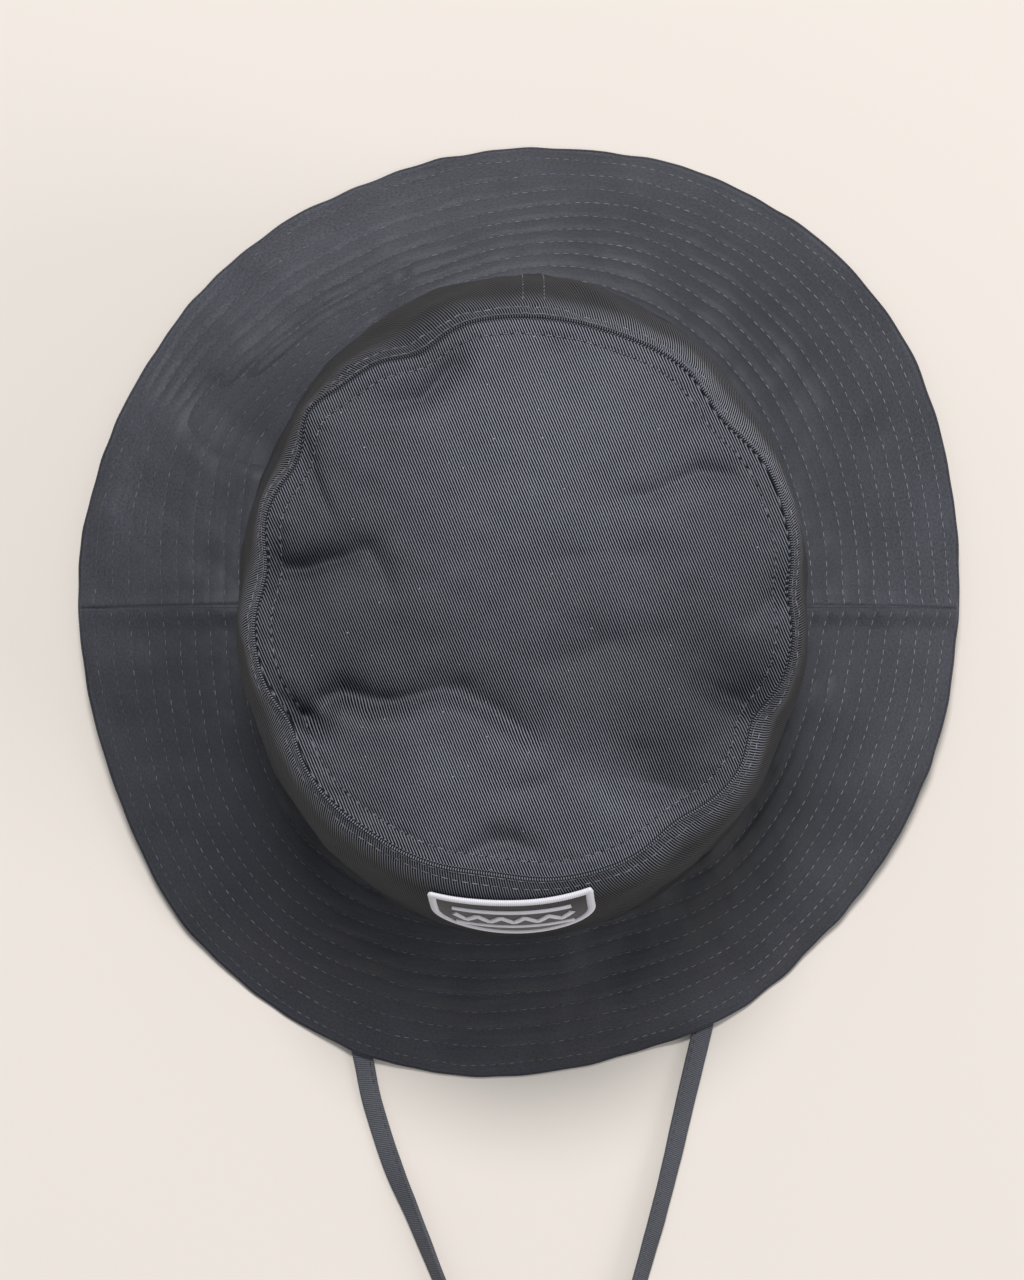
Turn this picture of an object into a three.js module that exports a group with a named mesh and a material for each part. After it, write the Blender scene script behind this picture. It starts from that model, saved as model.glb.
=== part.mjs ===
// A safari hat in black twill: a soft crown of a top panel and a side wall, a stitched brim in
// two halves, a sewn patch at the front and a flat chin strap that leaves under the front brim.
// Millimetres. +Z is up, -Y is the front of the hat, and the hat stands on its brim at z = 0.
import * as THREE from 'three';

// Driving dimensions
const brimHalfWidth = 145; // brim edge, side to side
const brimHalfLength = 156.2; // brim edge, front to back
const openHalfWidth = 89; // seam between the wall and the brim
const openHalfLength = 106;
const openShiftY = -1; // the crown sits a little to the front
const seamHalfWidth = 81.8; // seam between the top panel and the wall
const seamHalfLength = 84.9;
const seamShiftX = 1.1; // the crown leans a little to the right and front
const seamShiftY = -0.5;
const openHeight = 38; // the wall's lower seam above the floor
const crownHeight = 76; // from that seam to the top seam
const sideSag = 3; // how far the lower seam dips at the sides
const sideLift = 8; // how far the brim edge rises at the sides
const tipRise = 4; // how far the top panel swells above its seam
const tipHollow = 0.35; // share of that swelling that is missing in the middle
const shoulderOut = 7; // how far the wall rolls out beyond the top seam
const shoulderReach = 11; // the roll is mostly over this far below the seam
const wallCurve = 1.6; // how much the wall steepens towards the brim, 1 is straight
const brimBow = 2.5; // how far the brim is arched across its width
const tipCloth = 1.3;
const wallCloth = 1.3;
const brimCloth = 2.2;
const hemFrom = 0.965; // the brim's hem starts at this share of its width and lies level
const restSpan = 0.5; // the hem is on the floor up to this sideways share of the brim
const seamGap = 0.4; // pieces stay this far apart
const strapWidth = 6.5;
const strapThick = 1.6;
const strapRoom = 1; // between the strap and the hem that passes over it
const patchWidth = 51;
const patchHeight = 28;
const patchSide = 11; // straight part of the patch's sides
const patchDrop = 8; // from the top seam to the patch, along the wall
const patchAt = 267.3; // direction of the patch's middle, in degrees
const patchTilt = 8; // how far its right end is turned up, in degrees
const patchCloth = 0.8;
const borderWidth = 2.4;
const borderThick = 1.5;
const threadWidth = 2.2; // embroidered lines on the patch
const threadThick = 0.5;

// Directions at and aim in the tables below are in degrees from +X, the hat's left, towards +Y.
// The front is at 270.

// How finely the cloth is divided
const stepsRound = 92;
const rowsTip = 9;
const rowsWall = 8;
const rowsBrim = 7;
const stepsStrap = 60;

// Tucks in the top seam. deep is a share of seamHalfWidth, inwards, and a swell is below 0.
// spread is in degrees, and fall is how far the tuck runs down the wall, a share of crownHeight.
const rimTucks = [
  { at: 1, deep: 0.026, spread: 6.6, fall: 0.3 },
  { at: 30, deep: -0.011, spread: 12.3, fall: 0.3 },
  { at: 43, deep: 0.063, spread: 10.2, fall: 0.3 },
  { at: 48, deep: -0.035, spread: 14, fall: 0.3 },
  { at: 113, deep: 0.051, spread: 7.2, fall: 0.24 },
  { at: 140, deep: -0.053, spread: 6.9, fall: 0.3 },
  { at: 147, deep: 0.047, spread: 9.5, fall: 0.3 },
  { at: 174, deep: 0.049, spread: 8.4, fall: 0.25 },
  { at: 208, deep: 0.035, spread: 6.7, fall: 0.3 },
  { at: 227, deep: -0.008, spread: 8, fall: 0.3 },
  { at: 263, deep: 0.022, spread: 10, fall: 0.12 },
  { at: 304, deep: 0.034, spread: 7.9, fall: 0.3 },
  { at: 332, deep: 0.053, spread: 7.1, fall: 0.3 },
];

const tuckDrop = 0.3; // a tuck also lowers the seam, by this share of its depth

// How the top seam rises and falls: that many waves round, how high, and turned by so many degrees.
const seamWaves = [
  { waves: 2, high: 1.2, turn: 50 },
  { waves: 3, high: 0.9, turn: -20 },
];

// Bulges of the wall. out is a share of seamHalfWidth, spread is in degrees, down and tall are
// shares of crownHeight below the top seam.
const wallSwells = [
  { at: 318, out: 0.016, spread: 17, down: 0.25, tall: 0.3 },
  { at: 236, out: 0.02, spread: 20, down: 0.35, tall: 0.3 },
  { at: 75, out: 0.02, spread: 22, down: 0.4, tall: 0.35 },
  { at: 150, out: -0.055, spread: 26, down: 0.3, tall: 0.35 },
  { at: 14, out: -0.025, spread: 16, down: 0.6, tall: 0.3 },
];

// Creases in the top panel. The line of each runs through points given as shares of seamHalfWidth
// and seamHalfLength from the panel's middle. deep is how deep it is there, and left and right are
// how wide it is on either side, all shares of seamHalfWidth.
const tipCreases = [
  {
    left: 0.061,
    right: 0.11,
    line: [
      { x: -0.96, y: 0.177, deep: 0.029 },
      { x: -0.888, y: 0.112, deep: 0.053 },
      { x: -0.802, y: 0.113, deep: 0.046 },
      { x: -0.692, y: 0.138, deep: 0.034 },
      { x: -0.582, y: 0.177, deep: 0.01 },
    ],
  },
  {
    left: 0.061,
    right: 0.086,
    line: [
      { x: -0.655, y: 0.233, deep: 0.003 },
      { x: -0.571, y: 0.177, deep: 0.01 },
      { x: -0.527, y: 0.081, deep: 0.011 },
      { x: -0.534, y: 0.021, deep: 0.003 },
    ],
  },
  {
    left: 0.055,
    right: 0.037,
    line: [
      { x: -0.958, y: -0.36, deep: 0.019 },
      { x: -0.874, y: -0.403, deep: 0.062 },
      { x: -0.801, y: -0.42, deep: 0.067 },
      { x: -0.731, y: -0.484, deep: 0.011 },
    ],
  },
  {
    left: 0.061,
    right: 0.061,
    line: [
      { x: -0.738, y: -0.403, deep: 0.016 },
      { x: -0.725, y: -0.353, deep: 0.051 },
      { x: -0.666, y: -0.336, deep: 0.062 },
      { x: -0.564, y: -0.37, deep: 0.061 },
      { x: -0.435, y: -0.364, deep: 0.05 },
      { x: -0.226, y: -0.314, deep: 0.019 },
    ],
  },
  {
    left: 0.061,
    right: 0.055,
    line: [
      { x: -0.226, y: -0.332, deep: 0.016 },
      { x: -0.105, y: -0.392, deep: 0.027 },
      { x: 0.005, y: -0.481, deep: 0.021 },
      { x: 0.06, y: -0.53, deep: 0.006 },
    ],
  },
  {
    left: 0.049,
    right: 0.055,
    line: [
      { x: 0.298, y: 0.339, deep: 0.003 },
      { x: 0.463, y: 0.367, deep: 0.026 },
      { x: 0.647, y: 0.451, deep: 0.032 },
      { x: 0.758, y: 0.438, deep: 0.021 },
      { x: 0.824, y: 0.424, deep: 0.003 },
    ],
  },
  {
    left: 0.073,
    right: 0.122,
    line: [
      { x: 0.06, y: 0.127, deep: 0.006 },
      { x: 0.188, y: 0.145, deep: 0.011 },
      { x: 0.408, y: 0.159, deep: 0.01 },
      { x: 0.482, y: 0.163, deep: 0.002 },
    ],
  },
  {
    left: 0.098,
    right: 0.147,
    line: [
      { x: 0.023, y: -0.249, deep: 0.008 },
      { x: 0.28, y: -0.178, deep: 0.024 },
      { x: 0.427, y: -0.135, deep: 0.019 },
      { x: 0.573, y: -0.106, deep: 0.006 },
    ],
  },
  {
    left: 0.098,
    right: 0.049,
    line: [
      { x: 0.61, y: -0.27, deep: 0.011 },
      { x: 0.737, y: -0.346, deep: 0.059 },
      { x: 0.811, y: -0.378, deep: 0.07 },
      { x: 0.91, y: -0.424, deep: 0.019 },
    ],
  },
  {
    left: 0.11,
    right: 0.086,
    line: [
      { x: 0.262, y: -0.636, deep: 0.008 },
      { x: 0.37, y: -0.657, deep: 0.024 },
      { x: 0.48, y: -0.671, deep: 0.035 },
      { x: 0.664, y: -0.686, deep: 0.014 },
    ],
  },
  {
    left: 0.073,
    right: 0.122,
    line: [
      { x: 0.317, y: -0.516, deep: 0.003 },
      { x: 0.425, y: -0.537, deep: 0.011 },
      { x: 0.572, y: -0.53, deep: 0.01 },
      { x: 0.664, y: -0.502, deep: 0.002 },
    ],
  },
  {
    left: 0.043,
    right: 0.037,
    line: [
      { x: -0.226, y: -0.918, deep: 0.01 },
      { x: -0.094, y: -0.879, deep: 0.029 },
      { x: -0.032, y: -0.879, deep: 0.024 },
      { x: 0.042, y: -0.903, deep: 0.008 },
    ],
  },
  {
    left: 0.073,
    right: 0.073,
    line: [
      { x: -0.105, y: -0.686, deep: 0.006 },
      { x: -0.013, y: -0.678, deep: 0.016 },
      { x: 0.078, y: -0.654, deep: 0.018 },
      { x: 0.152, y: -0.597, deep: 0.008 },
    ],
  },
  {
    left: 0.061,
    right: 0.055,
    line: [
      { x: -0.51, y: 0.687, deep: 0.011 },
      { x: -0.374, y: 0.708, deep: 0.032 },
      { x: -0.252, y: 0.836, deep: 0.019 },
      { x: -0.219, y: 0.896, deep: 0.006 },
    ],
  },
  {
    left: 0.061,
    right: 0.061,
    line: [
      { x: 0.83, y: -0.078, deep: 0.006 },
      { x: 0.933, y: 0.014, deep: 0.024 },
      { x: 0.977, y: 0.078, deep: 0.016 },
    ],
  },
  {
    left: 0.122,
    right: 0.147,
    line: [
      { x: -0.564, y: -0.192, deep: 0.006 },
      { x: -0.454, y: -0.174, deep: 0.016 },
      { x: -0.325, y: -0.139, deep: 0.01 },
    ],
  },
];

// The brim edge's departures from an oval. out is a share of brimHalfWidth.
const edgeSwells = [
  { at: 42, out: 0.0592, spread: 25 },
  { at: 105, out: -0.0256, spread: 21 },
  { at: 141, out: -0.0119, spread: 13 },
  { at: 226, out: 0.0211, spread: 14 },
  { at: 282, out: -0.0229, spread: 19 },
];

// Dips in the brim. deep is a share of openHeight, before and after are how many degrees the
// dip takes on each side, and near and far are shares of the brim's width.
const brimDips = [
  { at: 146, before: 26, after: 4, deep: 0.075, mid: 0.25, reach: 0.33 },
  { at: 101, before: 12, after: 16, deep: 0.035, mid: 0.3, reach: 0.3 },
  { at: 30, before: 14, after: 14, deep: -0.04, mid: 0.55, reach: 0.4 },
  { at: 205, before: 14, after: 18, deep: 0.04, mid: 0.5, reach: 0.4 },
  { at: 322, before: 16, after: 12, deep: 0.035, mid: 0.45, reach: 0.4 },
];

// Where the strap passes under the brim edge, in degrees.
const strapPasses = [{ at: 250 }, { at: 293 }];
const passSpread = 5.5;

// The chin strap's route, from its stitching inside the left of the wall round to the right.
// lift is the height above where the strap lies, face is the direction of its width in plan,
// and lean turns that width up from level.
const strapRoute = [
  { x: -83.6, y: 8, lift: 46, face: 90, lean: 0 },
  { x: -83.6, y: 7, lift: 34, face: 88, lean: 0 },
  { x: -84.8, y: 4, lift: 21, face: 75, lean: 0 },
  { x: -88.5, y: -4, lift: 8, face: 50, lean: 0 },
  { x: -91, y: -18, lift: 1, face: 20, lean: 0 },
  { x: -89.5, y: -36, lift: 0, face: 9, lean: 0 },
  { x: -84, y: -56, lift: 0, face: 17, lean: 0 },
  { x: -76.5, y: -76, lift: 0, face: 20, lean: 0 },
  { x: -69, y: -96, lift: 0, face: 20, lean: 0 },
  { x: -62, y: -114, lift: 0, face: 19, lean: 0 },
  { x: -56, y: -131, lift: 0, face: 17, lean: 0 },
  { x: -51.7, y: -147.9, lift: 0, face: 13, lean: 0 },
  { x: -48.6, y: -162.6, lift: 0, face: 15, lean: 4 },
  { x: -42, y: -183.2, lift: 0, face: 21, lean: 12 },
  { x: -35.7, y: -198, lift: 0, face: 23, lean: 40 },
  { x: -26.4, y: -220.7, lift: 0, face: 22, lean: 55 },
  { x: -18, y: -242, lift: 0, face: 22, lean: 62 },
  { x: -12, y: -260, lift: 0, face: 24, lean: 68 },
  { x: -4, y: -276, lift: 0, face: 45, lean: 76 },
  { x: 8.5, y: -282, lift: 0, face: 90, lean: 80 },
  { x: 21, y: -276, lift: 0, face: 135, lean: 76 },
  { x: 28.2, y: -260, lift: 0, face: 158, lean: 66 },
  { x: 34, y: -241, lift: 0, face: 164, lean: 54 },
  { x: 39.8, y: -220.7, lift: 0, face: 165, lean: 43 },
  { x: 46.4, y: -197, lift: 0, face: 165, lean: 36 },
  { x: 50.3, y: -181.7, lift: 0, face: 166, lean: 28 },
  { x: 54.9, y: -162.1, lift: 0, face: 167, lean: 16 },
  { x: 59.5, y: -143.2, lift: 0, face: 167, lean: 6 },
  { x: 64, y: -125, lift: 0, face: 166, lean: 0 },
  { x: 69.5, y: -106, lift: 0, face: 164, lean: 0 },
  { x: 75.5, y: -87, lift: 0, face: 162, lean: 0 },
  { x: 82, y: -68, lift: 0, face: 162, lean: 0 },
  { x: 87.5, y: -50, lift: 0, face: 166, lean: 0 },
  { x: 91, y: -32, lift: 0, face: 174, lean: 0 },
  { x: 91, y: -15, lift: 1, face: 160, lean: 0 },
  { x: 88.5, y: -4, lift: 8, face: 130, lean: 0 },
  { x: 84.8, y: 4, lift: 21, face: 105, lean: 0 },
  { x: 83.6, y: 7, lift: 34, face: 92, lean: 0 },
  { x: 83.6, y: 8, lift: 46, face: 90, lean: 0 },
];
const strapFloor = 0.1; // the strap lies this far above the floor

const radians = THREE.MathUtils.degToRad;
const cos = (degrees) => Math.cos(radians(degrees));
const sin = (degrees) => Math.sin(radians(degrees));
const mix = THREE.MathUtils.lerp;
const bell = (x) => Math.exp(-x * x);
const between = (a, b) => ((((a - b) % 360) + 540) % 360) - 180;
const oval = (a, b, at) => (a * b) / Math.hypot(b * cos(at), a * sin(at));

// The crown

function openRadius(at) {
  return oval(openHalfWidth, openHalfLength, at);
}

function openZ(at) {
  return openHeight - sideSag * cos(at) ** 2;
}

function tuck(at, below) {
  return rimTucks.reduce((sum, row) => {
    const fade = Math.exp(-below / row.fall);
    return sum - seamHalfWidth * row.deep * fade * bell(between(at, row.at) / row.spread);
  }, 0);
}

function seamZ(at) {
  const rise = seamWaves.reduce((sum, row) => sum + row.high * cos(row.waves * at + row.turn), 0);
  return openHeight + crownHeight + tuckDrop * tuck(at, 0) + rise;
}

function swell(at, below) {
  return wallSwells.reduce((sum, row) => {
    const height = bell((below - row.down) / row.tall) * Math.min(1, below / row.down) * (1 - below);
    return sum + seamHalfWidth * row.out * height * bell(between(at, row.at) / row.spread);
  }, 0);
}

// A point on the outside of the wall. below is 0 at the top seam and 1 at the brim.
function wallPoint(at, below) {
  const seam = oval(seamHalfWidth, seamHalfLength, at);
  const roll = shoulderOut * (1 - Math.exp((-below * crownHeight) / shoulderReach));
  const slope = (openRadius(at) - seam - shoulderOut) * (1 - (1 - below) ** wallCurve);
  const radius = seam + roll + slope + tuck(at, below) * (1 - below) + swell(at, below);
  const height = mix(seamZ(at), openZ(at), below ** 1.12);
  const shift = 1 - below;
  return new THREE.Vector3(
    radius * cos(at) + seamShiftX * shift,
    radius * sin(at) + openShiftY + seamShiftY * shift,
    height,
  );
}

// How deep one crease is at a place: the deepest that any stretch of its line makes it there.
function creaseDepth(crease, x, y) {
  let deepest = 0;
  for (let i = 0; i + 1 < crease.line.length; i += 1) {
    const from = crease.line[i];
    const to = crease.line[i + 1];
    const start = new THREE.Vector2(from.x * seamHalfWidth, from.y * seamHalfLength);
    const run = new THREE.Vector2(to.x * seamHalfWidth, to.y * seamHalfLength).sub(start);
    const off = new THREE.Vector2(x, y).sub(start);
    const along = Math.min(1, Math.max(0, off.dot(run) / run.lengthSq()));
    off.addScaledVector(run, -along);
    const side = off.length() > 0 ? run.cross(off) / (run.length() * off.length()) : 0;
    const wide = seamHalfWidth * mix(crease.right, crease.left, (1 + side) / 2);
    deepest = Math.max(deepest, seamHalfWidth * mix(from.deep, to.deep, along) * bell(off.length() / wide));
  }
  return deepest;
}

// A point on the top panel. out is 0 at its middle and 1 at the seam.
function tipPoint(at, out) {
  const radius = out * (oval(seamHalfWidth, seamHalfLength, at) + tuck(at, 0) * out ** 3);
  const x = radius * cos(at);
  const y = radius * sin(at);
  const level = mix(openHeight + crownHeight, seamZ(at), out ** 2);
  const deep = tipCreases.reduce((sum, crease) => sum + creaseDepth(crease, x, y), 0);
  const creased = deep * (1 - out ** 12);
  const swelling = tipRise * (1 - out ** 3.5 - tipHollow * bell(out / 0.5));
  return new THREE.Vector3(x + seamShiftX, y + openShiftY + seamShiftY, level + swelling - creased);
}

// Both edges at the top seam are cut along this direction, so that they stay parallel.
function seamNormal(at) {
  return new THREE.Vector3(0.5 * cos(at), 0.5 * sin(at), 1).normalize();
}

// The brim

function edgeRadius(at) {
  return edgeSwells.reduce(
    (sum, row) => sum + brimHalfWidth * row.out * bell(between(at, row.at) / row.spread),
    oval(brimHalfWidth, brimHalfLength, at),
  );
}

// The height of the hem's upper side. The hem is flat on the floor at the front and the back.
function edgeZ(at) {
  const strap = strapPasses.reduce((sum, row) => sum + bell(between(at, row.at) / passSpread), 0);
  const side = Math.max(0, Math.abs(cos(at)) - restSpan) / (1 - restSpan);
  return brimCloth + sideLift * side ** 1.5 + (strapThick + strapRoom) * strap;
}

function dip(at, out) {
  return brimDips.reduce((sum, row) => {
    const away = between(at, row.at);
    const round = bell(away / (away < 0 ? row.before : row.after));
    return sum + openHeight * row.deep * round * bell((out - row.mid) / row.reach);
  }, 0);
}

// A point on top of the brim. out is 0 at the wall and 1 at the edge.
function brimPoint(at, out) {
  const inner = openRadius(at) - wallCloth;
  const radius = mix(inner, edgeRadius(at), out);
  const along = Math.min(1, out / hemFrom);
  const arch = 4 * brimBow * along * (1 - along);
  const fade = Math.min(1, along / 0.1) * (1 - along ** 6);
  const height = mix(openZ(at) - seamGap, edgeZ(at), along) + arch - dip(at, out) * fade;
  return new THREE.Vector3(radius * cos(at), radius * sin(at) + openShiftY * (1 - out), height);
}

// Solids

function closedSolid(vertices, triangles) {
  let volume = 0;
  for (const [a, b, c] of triangles) {
    const normal = new THREE.Vector3().crossVectors(vertices[b], vertices[c]);
    volume += vertices[a].dot(normal);
  }
  const outward = volume > 0 ? triangles : triangles.map(([a, b, c]) => [a, c, b]);
  const geometry = new THREE.BufferGeometry();
  geometry.setAttribute('position', new THREE.Float32BufferAttribute(vertices.flatMap((v) => v.toArray()), 3));
  geometry.setIndex(outward.flat());
  geometry.computeVertexNormals();
  return geometry;
}

function normalAt(point, u, v, du, dv) {
  const acrossU = point(u + du, v).sub(point(u - du, v));
  const acrossV = point(u, v + dv).sub(point(u, v - dv));
  return acrossU.cross(acrossV).normalize();
}

// A sheet of cloth as a closed solid: a grid of points on its face, and the same grid moved back
// by the cloth's thickness. back(u, v) gives the point behind each point of the face. A sheet
// that goes all the way round joins its ends, and a disc has one point at v = 0.
function cloth({ face, back, us, vs, round = false, disc = false }) {
  const vertices = [];
  const layer = (place) => {
    const rows = vs.map((v, j) => {
      const columns = disc && j === 0 ? [us[0]] : us;
      return columns.map((u) => vertices.push(place(u, v)) - 1);
    });
    return rows.map((row) => (row.length === 1 ? us.map(() => row[0]) : row));
  };
  const front = layer(face);
  const rear = layer(back);
  const triangles = [];
  const quad = (a, b, c, d) => {
    if (a !== b) triangles.push([a, b, c]);
    if (c !== d) triangles.push([a, c, d]);
  };
  const count = round ? us.length : us.length - 1;
  const next = (i) => (i + 1) % us.length;
  for (let i = 0; i < count; i += 1) {
    for (let j = 0; j + 1 < vs.length; j += 1) {
      quad(front[j][i], front[j][next(i)], front[j + 1][next(i)], front[j + 1][i]);
      quad(rear[j][i], rear[j + 1][i], rear[j + 1][next(i)], rear[j][next(i)]);
    }
    const last = vs.length - 1;
    if (!disc) quad(front[0][i], rear[0][i], rear[0][next(i)], front[0][next(i)]);
    quad(front[last][i], front[last][next(i)], rear[last][next(i)], rear[last][i]);
  }
  if (!round) {
    const end = us.length - 1;
    for (let j = 0; j + 1 < vs.length; j += 1) {
      quad(front[j][0], front[j + 1][0], rear[j + 1][0], rear[j][0]);
      quad(front[j][end], rear[j][end], rear[j + 1][end], front[j + 1][end]);
    }
  }
  return closedSolid(vertices, triangles);
}

// A section carried along a line. section lists [across, up] pairs, and each stop of the line
// has its centre and the directions across and up.
function swept(stops, section, closed = false) {
  const sides = section.length;
  const vertices = stops.flatMap(({ centre, across, up }) =>
    section.map(([a, b]) => centre.clone().addScaledVector(across, a).addScaledVector(up, b)),
  );
  const triangles = [];
  const count = closed ? stops.length : stops.length - 1;
  for (let i = 0; i < count; i += 1) {
    const here = i * sides;
    const there = ((i + 1) % stops.length) * sides;
    for (let k = 0; k < sides; k += 1) {
      const next = (k + 1) % sides;
      triangles.push([here + k, here + next, there + next], [here + k, there + next, there + k]);
    }
  }
  if (!closed) {
    const last = (stops.length - 1) * sides;
    for (let k = 1; k + 1 < sides; k += 1) {
      triangles.push([0, k + 1, k], [last, last + k, last + k + 1]);
    }
  }
  return closedSolid(vertices, triangles);
}

// A flat section with rounded edges, width by thick, from the height bottom up.
function flatSection(width, thick, bottom = -thick / 2) {
  const half = width / 2;
  const inset = 0.35 * thick;
  const top = bottom + thick;
  return [
    [-half + inset, bottom],
    [half - inset, bottom],
    [half, bottom + inset],
    [half, top - inset],
    [half - inset, top],
    [-half + inset, top],
    [-half, top - inset],
    [-half, bottom + inset],
  ];
}

// A low ridge of thread, width by thick.
function ridgeSection(width, thick, bottom) {
  const half = width / 2;
  return [
    [-half, bottom],
    [half, bottom],
    [half / 2, bottom + thick],
    [-half / 2, bottom + thick],
  ];
}

const steps = (count, from = 0, to = 1) =>
  Array.from({ length: count + 1 }, (_, i) => mix(from, to, i / count));
const aroundOnce = steps(stepsRound, 0, 360).slice(0, -1);

// Pieces

function crownTip() {
  const inset = (at) => new THREE.Vector3(cos(at), sin(at), 0).multiplyScalar(-seamGap / 2);
  const face = (at, out) => (out < 1 ? tipPoint(at, out) : tipPoint(at, 1).add(inset(at)));
  const normal = (at, out) => {
    if (out === 0) return new THREE.Vector3(0, 0, 1);
    return out < 1 ? normalAt(tipPoint, at, out, 0.5, -0.01) : seamNormal(at);
  };
  const back = (at, out) => face(at, out).addScaledVector(normal(at, out), -tipCloth);
  const vs = steps(rowsTip).map((out) => out ** 0.8);
  return cloth({ face, back, us: aroundOnce, vs, round: true, disc: true });
}

function crownWall() {
  const outset = (at) => new THREE.Vector3(cos(at), sin(at), 0).multiplyScalar(seamGap / 2);
  const face = (at, below) => (below > 0 ? wallPoint(at, below) : wallPoint(at, 0).add(outset(at)));
  const normal = (at, below) => {
    if (below === 0) return seamNormal(at);
    return below < 1
      ? normalAt(wallPoint, at, below, -0.5, 0.005)
      : new THREE.Vector3(cos(at), sin(at), 0);
  };
  const back = (at, below) => face(at, below).addScaledVector(normal(at, below), -wallCloth);
  const vs = steps(rowsWall).map((below) => below ** 1.5);
  return cloth({ face, back, us: aroundOnce, vs, round: true });
}

// Half of the brim, from side seam to side seam. side is 1 for the back and -1 for the front.
function brimHalf(side) {
  const us = steps(stepsRound / 2, side > 0 ? 0 : 180, side > 0 ? 180 : 360);
  const seam = new THREE.Vector3(0, (side * seamGap) / 2, 0);
  const atSeam = (at) => Math.abs(sin(at)) < 1e-6;
  const face = (at, out) => brimPoint(at, out).add(atSeam(at) ? seam : new THREE.Vector3());
  const back = (at, out) => {
    const normal = new THREE.Vector3(0, 0, 1);
    if (out < hemFrom) normal.copy(normalAt(brimPoint, at, Math.max(0.01, out), 0.5, -0.01));
    if (atSeam(at)) normal.setY(0).normalize();
    return face(at, out).addScaledVector(normal, -brimCloth);
  };
  const vs = [...steps(rowsBrim - 1, 0, hemFrom), 1];
  return cloth({ face, back, us, vs });
}

// A place on the wall round the patch's top middle: right and down along the patch, and outwards.
function onWall(right, down, out) {
  const across = right * cos(patchTilt) + down * sin(patchTilt);
  const drop = down * cos(patchTilt) - right * sin(patchTilt);
  const below = (patchDrop + drop) / crownHeight;
  const middle = wallPoint(patchAt, below);
  const at = patchAt + THREE.MathUtils.radToDeg(across / Math.hypot(middle.x, middle.y));
  const normal = normalAt(wallPoint, at, below, -0.5, 0.005);
  return { centre: wallPoint(at, below).addScaledVector(normal, out), up: normal };
}

// How far down the patch reaches at a share of its half width, once inset all round.
function patchReach(share, inset) {
  return patchSide + (patchHeight - patchSide - inset) * Math.sqrt(Math.max(0, 1 - share ** 2));
}

function patchField() {
  const inset = borderWidth + seamGap;
  const half = patchWidth / 2 - inset;
  const place = (out) => (share, down) =>
    onWall(share * half, mix(inset, patchReach(share, inset), down), out).centre;
  return cloth({
    face: place(seamGap + patchCloth),
    back: place(seamGap),
    us: steps(14, -90, 90).map(sin),
    vs: steps(6),
  });
}

// The patch's outline, along the middle of its border: the top, one side, the bottom, the other.
function patchOutline() {
  const inset = borderWidth / 2;
  const half = patchWidth / 2 - inset;
  const top = steps(12, -1, 1).map((share) => new THREE.Vector2(share * half, inset));
  const side = steps(4, inset, patchSide).slice(1, -1);
  const right = side.map((down) => new THREE.Vector2(half, down));
  const left = side.reverse().map((down) => new THREE.Vector2(-half, down));
  const bottom = steps(20, 90, -90).map(
    (turn) => new THREE.Vector2(sin(turn) * half, patchReach(sin(turn), inset)),
  );
  return [...top, ...right, ...bottom, ...left];
}

function alongPatch(points, closed) {
  const count = points.length;
  return points.map((point, i) => {
    const before = points[closed ? (i + count - 1) % count : Math.max(0, i - 1)];
    const after = points[closed ? (i + 1) % count : Math.min(count - 1, i + 1)];
    const heading = onWall(after.x, after.y, seamGap).centre.sub(onWall(before.x, before.y, seamGap).centre);
    const { centre, up } = onWall(point.x, point.y, seamGap);
    return { centre, up, across: new THREE.Vector3().crossVectors(up, heading).normalize() };
  });
}

function patchBorder() {
  return swept(alongPatch(patchOutline(), true), flatSection(borderWidth, borderThick, 0), true);
}

// A straight or zigzag line of thread on the patch. Peaks is 0 for a straight line.
function patchThread(level, peaks) {
  const half = patchWidth / 2 - borderWidth * 3;
  const count = peaks ? peaks * 2 : 12;
  const wave = peaks ? patchHeight * 0.07 : 0;
  const points = steps(count, -1, 1).map(
    (share, i) => new THREE.Vector2(share * half, level * patchHeight + (i % 2 ? -wave : wave)),
  );
  const raised = patchCloth + seamGap;
  return swept(alongPatch(points, false), ridgeSection(threadWidth, threadThick, raised));
}

function chinStrap() {
  const rest = ({ lean }) => strapFloor + (strapWidth / 2) * sin(lean) + (strapThick / 2) * cos(lean);
  const route = strapRoute.map((row) => new THREE.Vector3(row.x, row.y, rest(row) + row.lift));
  const curve = new THREE.CatmullRomCurve3(route, false, 'catmullrom', 0.5);
  const stops = steps(stepsStrap).map((t) => {
    const place = t * (strapRoute.length - 1);
    const i = Math.min(strapRoute.length - 2, Math.floor(place));
    const [a, b] = [strapRoute[i], strapRoute[i + 1]];
    const face = mix(a.face, b.face, place - i);
    const lean = mix(a.lean, b.lean, place - i);
    const width = new THREE.Vector3(cos(face) * cos(lean), sin(face) * cos(lean), sin(lean));
    const heading = curve.getTangent(t);
    const across = width.addScaledVector(heading, -width.dot(heading)).normalize();
    return { centre: curve.getPoint(t), across, up: new THREE.Vector3().crossVectors(heading, across) };
  });
  return swept(stops, flatSection(strapWidth, strapThick));
}

// Materials

const twill = (color) => new THREE.MeshStandardMaterial({ color, roughness: 0.9, metalness: 0 });
const blackTwill = twill(0x2c2d31);
const brimTwill = twill(0x2f2f34);
const strapTwill = twill(0x303238);
const patchBlack = twill(0x232225);
const whiteThread = new THREE.MeshStandardMaterial({ color: 0xe9e6ee, roughness: 0.6, metalness: 0 });

function piece(name, geometry, material) {
  const mesh = new THREE.Mesh(geometry, material);
  mesh.name = name;
  return mesh;
}

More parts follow.
